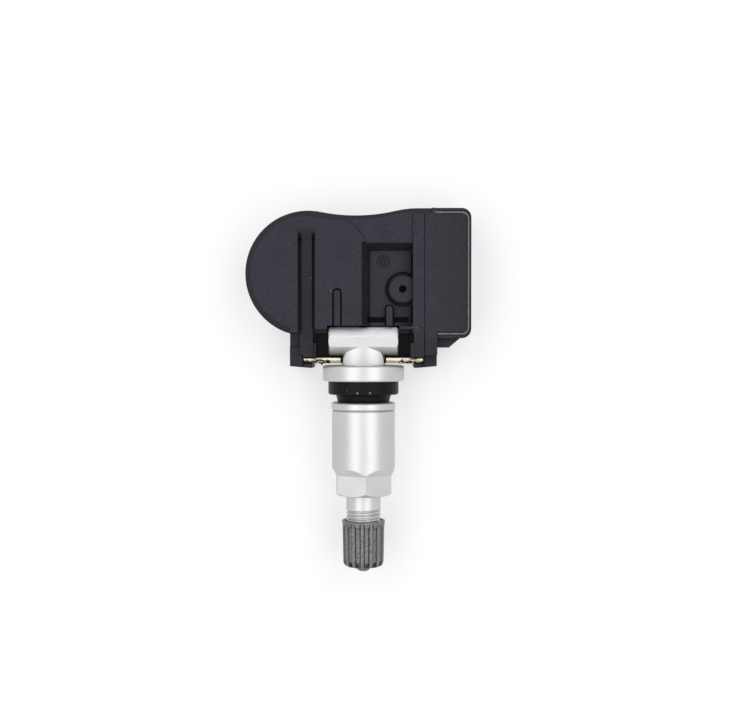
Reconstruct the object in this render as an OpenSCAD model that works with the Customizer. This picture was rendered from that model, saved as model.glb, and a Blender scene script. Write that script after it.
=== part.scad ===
// Clamp-in tyre pressure sensor: a moulded housing with a battery bay and an electronics bay,
// hinged on the T foot of an aluminium valve that clamps in a wheel rim.
// The valve lies along Y and the rim face is the plane Y = 0. The housing is at +Y, the cap at -Y.
// +Z is the front of the housing. Along the valve, "d" is the distance out from the rim face.

/* [Valve] */
// Outer diameter of the valve's cap thread
thread_d = 7.75; // [7.4:0.05:8]
// Length of the cap thread at the end of the stem
thread_l = 11.2; // [9:0.1:11.5]
// Diameter of the plain stem between the shank and the cap thread
plain_d = 7.7; // [7.3:0.05:7.75]
// Outer diameter of the shank thread that the nut runs on
shank_d = 9.0; // [8.6:0.1:9.4]
// Diameter of the collar inside the rim
collar_d = 18.3; // [17.4:0.1:18.6]
// Thickness of the collar
collar_t = 3.5; // [3:0.1:3.6]
// Diameter of the neck and of its ball end
neck_d = 9.7; // [9:0.1:9.9]
// Height of the ball's centre above the rim face
ball_y = 4.3; // [4:0.05:4.6]
// Height of the cross bar's axis above the rim face
pivot_y = 8.93; // [8.8:0.01:9.2]
// Diameter of the cross bar
bar_d = 6.5; // [5.8:0.1:6.6]
// Length of the cross bar
bar_l = 15.56; // [14:0.1:16]
// Height of the flat on the front of the bar, above its axis
bar_flat = 3.0; // [2.7:0.02:3.1]
// Length of the stem past the nut
stem_past = 14.31; // [13.9:0.01:14.6]
// Diameter of the air passage through the neck
air_d = 2.4; // [1.6:0.1:3]

/* [Seal, washer and nut] */
// Diameter of the rubber flange
flange_d = 15.8; // [15:0.1:16.2]
// Thickness of the rubber flange
flange_t = 3.0; // [2.5:0.1:3.4]
// Depth of the seat for the flange in the collar
flange_seat = 0.3; // [0.1:0.05:0.6]
// Diameter of the rubber sleeve where it leaves the flange
sleeve_d = 12.2; // [11.4:0.1:12.6]
// Length of the rubber sleeve
sleeve_l = 1.78; // [1.4:0.02:2.4]
// Diameter of the washer
washer_d = 14.4; // [13:0.1:15]
// Thickness of the washer
washer_t = 1.76; // [1.2:0.02:2]
// Diameter of the nut's round skirt
skirt_d = 14.16; // [13.8:0.02:15]
// Length of the nut's round skirt
skirt_l = 12.9; // [10:0.1:13]
// Length of the cone between the skirt and the hexagon
cone_l = 1.5; // [1:0.1:1.8]
// Length of the hexagon past the cone
hex_l = 4.6; // [4:0.1:5.2]
// Width across the flats of the hexagon
hex_af = 12; // [11:0.5:12.5]
// Angle by which the hexagon's front edge is turned from the front
hex_turn = 4.3; // [-30:0.1:30]

/* [Cap] */
// Length of the stem that the cap covers
cap_reach = 8.5; // [7.7:0.1:8.5]
// Length of the cap without its tip
cap_l = 10.4; // [10.2:0.1:11]
// Wall of the cap at its ribs
cap_wall = 0.815; // [0.6:0.005:0.9]
// Reach of the lip at the cap's mouth past the ribs
cap_lip = 0.1; // [0.05:0.01:0.4]
// Number of flutes round the cap
cap_flutes = 14; // [10:1:18]
// Depth of a flute
flute_depth = 0.3; // [0.15:0.05:0.35]
// Angle by which the flutes are turned from the front
flute_turn = 9.6; // [-12:0.1:12]
// Diameter of the tip on the closed end
tip_d = 3.14; // [2.4:0.02:3.6]

/* [Clip] */
// Width of the fork
clip_w = 26.6; // [26:0.1:27]
// Thickness of its steel plate
clip_t = 1.28; // [1:0.02:1.3]
// Height of the fork's lower face above the rim face
clip_y = 3.97; // [3.94:0.01:4.05]
// Height of the prong ends in front of the valve's axis
clip_front = 1.95; // [1.4:0.05:2]
// Height of the closed end behind the valve's axis
clip_back = 8.6; // [7.5:0.1:9]

/* [Housing] */
// Depth of the housing from back to front
body_depth = 14; // [13:0.5:16]
// Gap between the collar and the surface that the back lies on
collar_lift = 0.45; // [0.3:0.05:0.8]
// Wall round the battery
bay_wall = 1.5; // [1.1:0.05:1.6]
// Position of the battery's centre across the housing
bay_x = -12.25; // [-13:0.05:-12]
// Height of the battery bay's lowest point above the rim face
bay_low = 10; // [9.8:0.05:11]
// Drop of the waist's lowest point below the top of the bay
waist_drop = 1.06; // [0.9:0.02:1.5]
// Position of the waist's lowest point across the housing
waist_x = -1.7; // [-3:0.1:0]
// Rise of the housing's top edge above the waist's lowest point
top_rise = 1.6; // [1.3:0.1:2]
// Radius of the shoulder between the waist and the top edge
shoulder_r = 20; // [15:1:24]
// Right side of the electronics bay
block_x = 23.93; // [23.6:0.01:25]
// Bottom of the electronics bay
block_y = 9.6; // [9.6:0.05:10.2]
// Radius of the electronics bay's outer corners
block_r = 2.1; // [1.8:0.1:2.6]
// Outer side of the ears
ear_x = 16.4; // [16:0.02:16.6]
// Height of the ears' ends above the rim face
ear_y = 2.95; // [2.6:0.05:3]
// Thickness of the rear cover
cover_t = 1.6; // [1.4:0.1:1.9]
// Width of the cover's rim at the side of the electronics bay
rim_side = 0.5; // [0.4:0.05:0.8]
// Width of the cover's rim at the ends of the electronics bay
rim_end = 0.83; // [0.7:0.01:1]
// Width of the joint bead inside the rim
bead_w = 0.35; // [0.25:0.05:0.4]

/* [Front face] */
// Width of the bevel round the front edge
bevel_w = 1.3; // [0.8:0.1:1.5]
// Height of the bevel round the front edge
bevel_h = 1.1; // [0.6:0.1:1.5]
// Reach of the raised battery dome past the bay's wall
dome_rim = 0.67; // [0.5:0.01:0.9]
// Left side of the long band beside the recess
band_x = 11.0; // [10.8:0.05:11.3]
// Depth of the recess below the front
recess_depth = 2.9; // [2:0.1:3.2]
// Diameter of the air port boss
boss_d = 6.24; // [5.6:0.02:6.4]
// Diameter of the air port
port_d = 1.7; // [1.2:0.1:2.4]
// Position of the air port across the housing
port_x = 8.75; // [8.4:0.05:8.8]
// Height of the air port above the rim face
port_y = 20.53; // [20.3:0.01:20.7]

/* [Electronics] */
// Diameter of the coin cell
cell_d = 24.5; // [24.3:0.05:24.5]
// Thickness of the coin cell
cell_t = 5.0; // [4:0.1:5.2]
// Thickness of the circuit board
board_t = 1.0; // [0.8:0.1:1.2]
// Width of the pressure sensor chip
chip_w = 6.5; // [5:0.1:7]
// Height of the pressure sensor chip
chip_h = 2.2; // [1.6:0.1:2.6]

/* [Valve core] */
// Diameter of the core's thread
core_thread_d = 5.24; // [5:0.02:5.3]
// Diameter of the core's barrel
core_barrel_d = 3.7; // [3.4:0.05:3.75]
// Travel of the core's pin
pin_travel = 1.3; // [1:0.1:1.5]

/* [Clearances] */
// Radial gap of a screw fit or a turning fit
fit_gap = 0.06; // [0.03:0.01:0.09]
// Gap round the cross bar in its seat
bar_gap = 0.1; // [0.06:0.01:0.15]
// Gap round the clip in the ears' slots
slot_gap = 0.08; // [0.05:0.01:0.1]
// Gap between faces that part or slide
face_gap = 0.05; // [0.03:0.01:0.06]

/* [Hidden] */
$fn = 64;
eps = 0.01;

nylon = "#2f2c36";
nylon_light = "#3a3742";
alloy = "#d8d8da";
steel = "#b9b5ad";
rubber = "#1b1a1e";
cap_grey = "#71706f";
brass = "#c2a24c";

// Levels of the housing
back_z = -(collar_d / 2 + collar_lift);
front_z = back_z + body_depth;
split_z = back_z + cover_t;
recess_z = front_z - recess_depth;
shoulder_z = front_z - 0.4;
rim_z = front_z - 0.5;
toe_z = clip_front - 0.45;
toe_side_z = toe_z + 0.6;
pad_z = front_z - 2.2;
pad_low_z = front_z - 2.8;
ledge_z = front_z - 3;
side_floor_z = -1.8;
slot_z = recess_z - 3;

// Places along the valve
sleeve_end = flange_t + sleeve_l;
washer_end = sleeve_end + washer_t;
nut_start = washer_end + face_gap;
cone_start = nut_start + skirt_l;
hex_start = cone_start + cone_l;
nut_end = hex_start + hex_l;
shank_end = nut_end - 0.3;
stem_l = nut_end + stem_past;
seal_t = 0.6;
cap_floor = stem_l + face_gap + seal_t;
cap_start = stem_l - cap_reach;
cap_end = cap_start + cap_l;
cap_bore_r = thread_d / 2 + fit_gap;
cap_r = cap_bore_r + cap_wall;
cap_lip_r = cap_r + cap_lip;
tip_l = 1.2;

// Outline of the housing: bay circle, waist arc and shoulder arc, each tangent to the next
cell_gap = 0.18;
bay_in_r = cell_d / 2 + cell_gap;
bay_r = bay_in_r + bay_wall;
bay_y = bay_low + bay_r;
waist_y = bay_y + bay_r - waist_drop;
top_y = waist_y + top_rise;
dome_r = bay_r + dome_rim;
waist_rise = waist_y - bay_y;
waist_r = (pow(waist_x - bay_x, 2) - bay_r * bay_r + waist_rise * waist_rise)
          / (2 * (bay_r - waist_rise));
waist_c = [waist_x, waist_y + waist_r];
bay_c = [bay_x, bay_y];
shoulder_cy = top_y - shoulder_r;
shoulder_cx = waist_x + sqrt(pow(waist_r + shoulder_r, 2) - pow(waist_c.y - shoulder_cy, 2));
shoulder_c = [shoulder_cx, shoulder_cy];
bay_to_waist = (waist_c - bay_c) / norm(waist_c - bay_c);
bay_tangent = bay_c + bay_r * bay_to_waist;
waist_to_shoulder = (shoulder_c - waist_c) / norm(shoulder_c - waist_c);
shoulder_tangent = waist_c + waist_r * waist_to_shoulder;

// Pocket for the cross bar, and the slots for the clip
pocket_x = bar_l / 2 + 2.69;
cheek_x = bar_l / 2 + 0.25;
seat_r = bar_d / 2 + bar_gap;
pocket_top = pivot_y + bar_d / 2 + 0.22;
pocket_low = clip_y + clip_t + slot_gap;
side_top = pivot_y + 1.77;
ear_in = pocket_x + 0.98;
slot_x = clip_w / 2 + slot_gap;
ledge_top = side_top + 0.9;
lower_top = pocket_top + 0.5;
seam_x = ear_x - 0.6;
seam_slant = 0.68;
pad_x = ear_x - 2.32;
pad_y = ear_y + 4.7;
pad_end = pad_y + 3.2;
ear_rise = 0.4;
line_x = band_x + 2.5;
line_w = 0.15;

// Gusset between the right ear and the block: its corners, and its level
gusset_z = front_z - 1.9;
gusset = [[ear_x - 1, block_y - 2.1], [ear_x + 2.65, block_y - 2.1], [block_x - 2.4, block_y],
          [ear_x - 1, block_y]];

// Recess, rib on the dome, rib in the recess, long groove, slot in the recess and ejector mark
recess_top = top_y - 7.4;
rib_w = 1.4;
rib_x = 5.8;
dome_rib_tip = pocket_top + 7.9;
recess_rib_tip = pocket_top + 4.4;
groove = [bay_x - 2.25, bay_x + 1.6];
groove_top = bay_y + bay_r - 3.91;
slot_end = band_x - 0.9;
mark = [band_x - 6.54, recess_top - 4.3];
mark_r = 1.45;

// Cavity and board
bay_ceiling = front_z - 3.6;
mid_ceiling = recess_z - 1.3;
block_ceiling = front_z - 1.5;
block_wall = 1.2;
cavity_low = lower_top + 2.5;
cavity_top = waist_y - 1.6;
block_in_x = block_x - rim_side - bead_w;
block_in_y0 = block_y + rim_end + bead_w;
block_in_y1 = top_y - rim_end - bead_w;
tab_t = 0.25;
cell_top = bay_ceiling - tab_t;
cell_low = cell_top - cell_t;
crimp_h = 0.6;
crimp_w = 1.5;
tab_w = 4;
tab_x = bay_x + cell_d / 2 + 0.9;
tab_y = [bay_y + 5, bay_y - 3.5];
tab_reach = [3, 4];
tab_gap = 0.2;
post_h = 1.0;
post_r = 1.1;
posts = [bay_c + bay_in_r * [-0.6, -0.35], bay_c + bay_in_r * [-0.6, 0.38],
         bay_c + bay_in_r * [0.52, -0.5], bay_c + bay_in_r * [0.52, 0.54],
         [seam_x - 1.7, block_in_y0 + 7.2], [seam_x - 1.7, block_in_y1 - 5.2]];
board_gap = 0.4;
board_z = split_z + post_h;
board_top = board_z + board_t;

// Places and sizes of what stands on the board
chip_z = board_top + 0.2;
gasket_w = 1.3;
crystal_at = [seam_x + 0.7, block_in_y0 + 3.6];
crystal_size = [2.5, 3.2, 0.8];
coil_c = [block_in_x - 4.7, block_in_y1 - 7.2];
coil_core = [0.9, 2.7, 0.9];
coil_head = [1.6, 0.8, 1.5];
coil_reach = 3.4;
antenna_at = [block_in_x - 3.5, block_in_y0 + 3.4];
antenna_size = [1.2, coil_c.y - coil_reach - coil_head.y - 0.7 - antenna_at.y];
antenna_t = 0.5;
capacitor_size = [1.9, 1.2, 0.9];
capacitor_x = port_x + chip_w / 2 + 0.9;
capacitor_places = [[capacitor_x, port_y - 2.3], [capacitor_x, port_y - 0.1],
                    [capacitor_x, port_y + 2.1], [capacitor_x, port_y + 4.3],
                    [port_x - 3.5, cavity_top - 5], [port_x - 0.7, cavity_top - 5]];

// Places along the valve core
core_sink = 0.9;
core_l = 16.4;
plug_l = 6;
plug_flat_x = 1.35;
plug_flat_l = 2;
gasket_sink = 0.9;
gasket_l = 1.9;
core_end = stem_l - core_sink;
plug_start = core_end - plug_l;
barrel_end = plug_start - face_gap;
gasket_end = barrel_end - gasket_sink;
gasket_start = gasket_end - gasket_l;
barrel_start = core_end - core_l;
cup_l = 2.1;
cup_end = barrel_start - face_gap;
cup_start = cup_end - cup_l;
chamber_end = cup_start - pin_travel - 1.2;
pin_d = 0.84;
pin_seat = barrel_end - 1.6;
spring_start = barrel_start + 0.65;
mouth_r = core_thread_d / 2 + fit_gap;
chamber_r = core_barrel_d / 2 + 0.15;
bore_step = 0.45;

// Coil spring round the core's pin
spring_turns = 6;
spring_steps = 14;
spring_r = 0.9;
wire_r = 0.13;
spring_base = spring_start + wire_r + face_gap;
spring_rise = pin_seat - face_gap - wire_r - spring_base;

// Two circles of the outline are a hair small, so that they cross their neighbours
trim = 0.02;

// Points on an arc, for profiles
function arc(c, r, a0, a1, n = 5) =
    [for (i = [0:n]) let (a = a0 + (a1 - a0) * i / n) [c[0] + r * cos(a), c[1] + r * sin(a)]];

// A turned piece on the valve's axis, from points of radius and distance d
module turned(points) {
    rotate([90, 0, 0]) rotate_extrude() polygon(points);
}

// A box from its low corner to its high corner
module block(low, high) {
    translate(low) cube(high - low);
}

// The same shape on both sides of the housing
module both_sides() {
    children();
    mirror([1, 0, 0]) children();
}

// A flat shape carried from one level to another
module slab(z0, z1) {
    translate([0, 0, z0]) linear_extrude(z1 - z0) children();
}

// A rectangle with round corners on its right side
module block_shape(x1, y0, y1, r) {
    translate([seam_x, y0]) square([x1 - r - seam_x, y1 - y0]);
    translate([seam_x, y0 + r]) square([x1 - seam_x, y1 - y0 - 2 * r]);
    translate([x1 - r, y0 + r]) circle(r);
    translate([x1 - r, y1 - r]) circle(r);
}

// The housing above its foot: the bay, the waist and the shoulder, from one level to another
module upper_block(z0, z1) {
    slab(z0, z1) translate(bay_c) circle(bay_r);
    difference() {
        slab(z0, z1) polygon([[bay_x, lower_top], [bay_x, bay_y], bay_tangent - trim * bay_to_waist,
                              shoulder_tangent + trim * waist_to_shoulder,
                              [shoulder_c.x + 1, waist_y - 1], [shoulder_c.x + 1, lower_top]]);
        slab(z0 - 1, z1 + 1) translate(waist_c) circle(waist_r - trim / 2);
    }
    intersection() {
        slab(z0, z1) translate(shoulder_c) circle(shoulder_r - trim / 2);
        block([shoulder_tangent.x - 2, bay_y, z0 - 1], [shoulder_c.x + 1, top_y + 1, z1 + 1]);
    }
    block([shoulder_c.x, lower_top, z0], [ear_x, top_y, z1]);
}

// Place of the rim and the bead at the right: the block's outline less its inside
module rim_shape(inset_side, inset_end, r) {
    difference() {
        block_shape(block_x, block_y, top_y, block_r);
        block_shape(block_x - inset_side, block_y + inset_end, top_y - inset_end, r);
        polygon([[seam_x - 2, top_y + 1], [seam_x - seam_slant, top_y + eps], [seam_x, top_y - rim_end],
                 [seam_x + 0.3, top_y - rim_end - bead_w], [seam_x + 0.3, block_y + 3],
                 [ear_x, block_y + 3], [ear_x, block_y - 1], [seam_x - 2, block_y - 1]]);
    }
}

// A bevel along a convex arc of the outline, on the edge at level z
module convex_bevel(c, r, a0, a1, z, w, h) {
    s = sign(z - split_z);
    translate([c.x, c.y, 0]) rotate([0, 0, a0]) rotate_extrude(angle = a1 - a0)
        polygon([[r - w, z], [r + 0.2, z - s * h * (1 + 0.2 / w)], [r + 0.2, z + s], [r - w, z + s]]);
}

// A bevel along a concave arc of the outline
module concave_bevel(c, r, a0, a1, z, w, h) {
    s = sign(z - split_z);
    translate([c.x, c.y, 0]) rotate([0, 0, a0]) rotate_extrude(angle = a1 - a0)
        polygon([[r + w, z], [r - 0.2, z - s * h * (1 + 0.2 / w)], [r - 0.2, z + s], [r + w, z + s]]);
}

// The whole bevel, from the left ear round the bay to the start of the seam. The waist's cut and
// the straight cut reach a little past their ends, and the two convex cuts stop a little short.
module outline_bevel(z, w, h, x_end) {
    s = sign(z - split_z);
    lap = 2;
    start = shoulder_c.x - 0.35;
    waist_a0 = atan2(bay_tangent.y - waist_c.y, bay_tangent.x - waist_c.x);
    waist_a1 = atan2(shoulder_tangent.y - waist_c.y, shoulder_tangent.x - waist_c.x);
    bay_a = atan2(bay_to_waist.y, bay_to_waist.x);
    shoulder_a = atan2(-waist_to_shoulder.y, -waist_to_shoulder.x);
    ear_a = 360 - acos((-ear_x - bay_x) / bay_r);
    convex_bevel(bay_c, bay_r, bay_a + lap, ear_a, z, w, h);
    concave_bevel(waist_c, waist_r, waist_a0 - lap, waist_a1 + lap, z, w, h);
    convex_bevel(shoulder_c, shoulder_r, 90 + lap / 3, shoulder_a - lap / 2, z, w, h);
    translate([start, 0, 0]) rotate([90, 0, 90]) linear_extrude(x_end - start)
        polygon([[top_y - w, z], [top_y + 0.2, z - s * h * (1 + 0.2 / w)],
                 [top_y + 0.2, z + s], [top_y - w, z + s]]);
}

// The stepped recess beside the dome, with sloped left and top walls
module recess_cut() {
    lift = 0.5;
    slope = 1.9;
    left = band_x - 11.36;
    run = slope * (recess_depth + lift) / recess_depth;
    intersection() {
        rotate([90, 0, 0]) translate([0, 0, -recess_top - 1]) linear_extrude(recess_top - lower_top + 1.7)
            polygon([[left + slope, recess_z], [band_x, recess_z], [band_x, front_z + lift],
                     [left + slope - run, front_z + lift]]);
        rotate([90, 0, 90]) translate([0, 0, left - 2]) linear_extrude(band_x - left + 3)
            polygon([[pocket_top - 1, recess_z], [recess_top - slope, recess_z],
                     [recess_top - slope + run, front_z + lift], [pocket_top - 1, front_z + lift]]);
    }
}

// Long groove on the battery dome: a ramped strip between two deeper channels
module groove_cut() {
    side = 0.75;
    ramp = 2.65;
    strip_z = front_z - 1.1;
    low_z = front_z - 1.5;
    channel_z = front_z - 2.1;
    side_end = groove_top - 0.6;
    rotate([90, 0, 90]) translate([0, 0, groove[0]]) linear_extrude(groove[1] - groove[0])
        polygon([[groove_top, front_z], [groove_top - ramp, strip_z], [side_top, low_z],
                 [ear_y - 1, low_z], [ear_y - 1, front_z + 1], [groove_top, front_z + 1]]);
    for (x = [groove[0], groove[1] - side])
        rotate([90, 0, 90]) translate([0, 0, x]) linear_extrude(side)
            polygon([[side_end, front_z], [groove_top - ramp, channel_z], [side_top, channel_z],
                     [side_top, front_z + 1], [side_end, front_z + 1]]);
}

// Narrow U-shaped channel round a rib on the dome
module rib_channel() {
    channel_w = 0.36;
    difference() {
        rib_shape(channel_w, pocket_top - 1, dome_rib_tip);
        rib_shape(0, pocket_top - 1, dome_rib_tip);
    }
}

// Flat shape of a rib that runs up from a height to a round tip
module rib_shape(grow, start, tip) {
    translate([-rib_x - rib_w / 2 - grow, start])
        square([rib_w + 2 * grow, tip - rib_w / 2 - start]);
    translate([-rib_x, tip - rib_w / 2]) circle(rib_w / 2 + grow);
}

// Room for the foot of the valve: seat for the bar, side pockets, room for the ball
module pocket_cut() {
    mouth = front_z + 1;
    block([-cheek_x, pocket_low - 2, -seat_r * 0.62], [cheek_x, pivot_y + seat_r, mouth]);
    block([-cheek_x, pivot_y, 0], [cheek_x, pocket_top, mouth]);
    translate([-cheek_x, pivot_y, 0]) rotate([0, 90, 0]) cylinder(r = seat_r, h = 2 * cheek_x);
    both_sides() block([cheek_x - eps, pocket_low - 2, side_floor_z], [pocket_x, side_top, mouth]);
    both_sides() block([cheek_x - eps, side_top - eps, ledge_z], [band_x, ledge_top, mouth]);
    both_sides() block([pocket_x - eps, pivot_y - 0.4, ledge_z - 2], [band_x + 0.25, side_top, mouth]);
    translate([0, ball_y, 0]) sphere(r = neck_d / 2 + 0.4);
}

// Slot for the clip, open at the back and the front, and the lowered toes of the ears
module ear_cuts() {
    block([-slot_x, clip_y - slot_gap, back_z - 1], [slot_x, pocket_low, front_z + 1]);
    block([-ear_in, ear_y - 1, back_z - 1], [ear_in, clip_y, front_z + 1]);
    both_sides() {
        block([0, ear_y - 1, toe_z], [slot_x + 0.3, pocket_low, front_z + 1]);
        block([slot_x, ear_y - 1, toe_side_z], [ear_x + 1, pocket_low + 0.5, front_z + 1]);
    }
    block([-ear_x - 1, ear_y - 1, pad_z], [-pad_x, pad_y, front_z + 1]);
    block([-ear_x - 1, pad_y - eps, pad_low_z], [-pad_x, pad_end, front_z + 1]);
    // The ears' ends rise a little towards the outside
    both_sides() slab(back_z - 1, front_z + 1)
        polygon([[ear_in + 0.6, ear_y], [ear_x, ear_y + ear_rise], [ear_x + 1, ear_y + ear_rise],
                 [ear_x + 1, ear_y - 1], [ear_in + 0.6, ear_y - 1]]);
}

// Inside of the housing, open at the back: battery bay, middle and electronics bay
module cavity_cut() {
    slab(split_z - 1, bay_ceiling) translate(bay_c) circle(bay_in_r);
    block([bay_x, tab_y[0] - tab_w / 2 - tab_gap, split_z - 1],
          [tab_x + tab_gap, tab_y[0] + tab_w / 2 + tab_gap, bay_ceiling]);
    slab(split_z - 1, mid_ceiling)
        translate([bay_x, cavity_low]) square([seam_x - bay_x, cavity_top - cavity_low]);
    slab(split_z - 1, block_ceiling)
        translate([seam_x - 0.1, block_in_y0 + block_wall])
            square([block_in_x - block_wall - seam_x, block_in_y1 - block_in_y0 - 2 * block_wall]);
}

module front_housing() color(nylon) {
    boss_z = front_z - 1.2;
    boss_ring = 0.75;
    moat_z = recess_z - 0.9;
    edge_w = 0.3;
    difference() {
        union() {
            difference() {
                upper_block(split_z, front_z);
                slab(split_z - 1, front_z + 1)
                    rim_shape(rim_side + bead_w, rim_end + bead_w, block_r - rim_end);
            }
            slab(split_z, front_z)
                block_shape(block_in_x, block_in_y0, block_in_y1, block_r - rim_end);
            slab(back_z, front_z) translate([-ear_x, ear_y]) square([2 * ear_x, lower_top - ear_y]);
            slab(back_z, gusset_z) polygon(gusset);
        }
        outline_bevel(front_z, bevel_w, bevel_h, seam_x - seam_slant);
        slab(shoulder_z, front_z + 1) difference() {
            translate([waist_x - 4.3, top_y - 9.4]) square([band_x - waist_x + 4.3, 11]);
            translate(bay_c) circle(dome_r);
        }
        recess_cut();
        groove_cut();
        slab(front_z - 1.6, front_z + 1) rib_channel();
        slab(front_z - 0.35, front_z + 1) rib_shape(0, pocket_top - 1, dome_rib_tip);
        block([0, pocket_top + 0.7, slot_z], [slot_end, pocket_top + 1.9, recess_z + 1]);
        translate([port_x, port_y, moat_z]) cylinder(r = boss_d / 2 + boss_ring, h = recess_depth);
        translate([mark.x, mark.y, recess_z - 0.2]) cylinder(r = mark_r, h = 1);
        // Gaps beside the recess's rib and along the band, and the fine line on the band
        slab(moat_z, recess_z + 1) mirror([1, 0]) rib_shape(edge_w, pocket_top - 1, recess_rib_tip);
        block([band_x - edge_w, pocket_top + 0.7, moat_z], [band_x, recess_top - 2.2, recess_z + 1]);
        block([line_x, pocket_low + 0.5, front_z - 0.2], [line_x + line_w, top_y - bevel_w, front_z + 1]);
        block([line_x, pocket_low + 0.5, front_z - 0.6], [line_x + line_w, side_top, front_z + 1]);
        pocket_cut();
        ear_cuts();
        cavity_cut();
    }
    // Air port boss, cut off by the band
    difference() {
        intersection() {
            translate([port_x, port_y, mid_ceiling]) cylinder(d = boss_d, h = boss_z - mid_ceiling);
            block([0, 0, moat_z - 0.1], [band_x, top_y, front_z]);
        }
        translate([port_x, port_y, mid_ceiling - 1]) cylinder(d = port_d, h = body_depth);
    }
    // Rib in the recess, with a round tip
    slab(slot_z - 0.2, recess_z + 1.5) mirror([1, 0]) rib_shape(0, pocket_top, recess_rib_tip);
    // Ejector mark
    translate([mark.x, mark.y, recess_z - 0.3]) difference() {
        cylinder(r = mark_r * 0.43, h = 0.35);
        translate([0, 0, 0.2]) cylinder(r = mark_r * 0.25, h = 1);
    }
}

module rear_cover() color(nylon_light) {
    edge = 0.8;
    difference() {
        union() {
            upper_block(back_z, split_z);
            slab(back_z, split_z) block_shape(block_x, block_y, top_y, block_r);
        }
        block([-ear_x, 0, back_z - 1], [ear_x, lower_top, split_z + 1]);
        outline_bevel(back_z, edge, edge, block_x - block_r);
    }
    slab(split_z, rim_z) rim_shape(rim_side, rim_end, block_r - rim_end / 2);
    for (p = posts) translate([p.x, p.y, split_z]) cylinder(r = post_r, h = post_h);
}

module seam_bead() color("#9a9a9d")
    slab(split_z, rim_z + 0.15) difference() {
        rim_shape(rim_side + bead_w, rim_end + bead_w, block_r - rim_end);
        rim_shape(rim_side, rim_end, block_r - rim_end / 2);
    }

module retaining_clip() color(steel)
    translate([0, clip_y + clip_t, 0]) rotate([90, 0, 0]) linear_extrude(clip_t) difference() {
        r = 2;
        fork = neck_d / 2 + 0.25;
        union() {
            translate([-clip_w / 2, r - clip_back]) square([clip_w, clip_front + clip_back - r]);
            translate([r - clip_w / 2, -clip_back]) square([clip_w - 2 * r, clip_back]);
            for (x = [r - clip_w / 2, clip_w / 2 - r]) translate([x, r - clip_back]) circle(r);
        }
        circle(fork);
        translate([-fork, 0]) square([2 * fork, clip_front + 1]);
    }

module battery_cell() color("#c9c9c9") {
    translate([bay_x, bay_y, cell_low + crimp_h]) cylinder(d = cell_d, h = cell_t - crimp_h);
    translate([bay_x, bay_y, cell_low]) cylinder(d = cell_d - 2 * crimp_w, h = crimp_h + eps);
}

// Welded tab: a strip across the cell and a leg down to the board
module tab(z, reach, y) {
    half_w = tab_w / 2;
    leg_z = min(z, board_top);
    block([bay_x - reach, y - half_w, z], [tab_x, y + half_w, z + tab_t]);
    block([tab_x - tab_t, y - half_w, leg_z], [tab_x, y + half_w, z + tab_t]);
}

module battery_tab_positive() color("#bdbdb8") tab(cell_top, tab_reach[0], tab_y[0]);

module battery_tab_negative() color("#bdbdb8") tab(cell_low - tab_t, tab_reach[1], tab_y[1]);

module circuit_board() color("#1f5a36") slab(board_z, board_top) {
    inset = block_wall + board_gap;
    difference() {
        translate(bay_c) circle(bay_in_r - board_gap);
        translate([bay_x - bay_r, ear_y])
            square([2 * bay_r, cavity_low - 2 + board_gap - ear_y]);
    }
    translate([bay_x, cavity_low + board_gap])
        square([seam_x + 1 - bay_x, cavity_top - cavity_low - 2 * board_gap]);
    translate([seam_x - 0.1 + board_gap, block_in_y0 + inset])
        square([block_in_x - inset - seam_x + 0.1 - board_gap, block_in_y1 - block_in_y0 - 2 * inset]);
}

module sensor_chip() color("#26262a") difference() {
    translate([port_x - chip_w / 2, port_y - chip_w / 2, chip_z]) cube([chip_w, chip_w, chip_h]);
    translate([port_x, port_y, chip_z + chip_h - 0.7]) cylinder(d = port_d, h = 1);
}

module sensor_chip_leads() color("silver") {
    lead = [0.4, 0.9, 0.45];
    for (s = [-1, 1], i = [-3:3])
        translate([port_x + i * chip_w / 7.5 - lead.x / 2,
                   port_y + s * (chip_w + lead.y) / 2 - lead.y / 2, board_top]) cube(lead);
}

module port_gasket() color("#8c3f33") translate([port_x, port_y, chip_z + chip_h]) difference() {
    height = mid_ceiling - chip_z - chip_h;
    cylinder(r = port_d / 2 + gasket_w, h = height);
    translate([0, 0, -1]) cylinder(d = port_d, h = height + 2);
}

module crystal() color("#d0cfc8")
    translate([crystal_at.x, crystal_at.y, board_top]) cube(crystal_size);

// Boxes of the coil are given by half their size about a centre at the coil's height
module coil_box(y, half) {
    translate([coil_c.x - half.x, coil_c.y + y - half.y, board_top + coil_head.z - half.z]) cube(2 * half);
}

module lf_coil_core() color("#3c3a3a") {
    for (s = [-1, 1]) coil_box(s * coil_reach, coil_head);
    coil_box(0, coil_core);
}

module lf_coil_winding() color("#a5622e") difference() {
    coil_box(0, coil_core + [0.5, -0.2, 0.5]);
    coil_box(0, coil_core + [face_gap, 0.3, face_gap]);
}

module rf_antenna() color("#c9a84a") translate([antenna_at.x, antenna_at.y, board_top]) {
    height = block_ceiling - 0.4 - board_top;
    for (y = [0, antenna_size.y - antenna_t])
        translate([0, y, 0]) cube([antenna_size.x, antenna_t, height]);
    translate([0, 0, height - antenna_t]) cube([antenna_size.x, antenna_size.y, antenna_t]);
}

module capacitors() color("#b59f78")
    for (p = capacitor_places) translate([p.x, p.y, board_top]) cube(capacitor_size);

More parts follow.
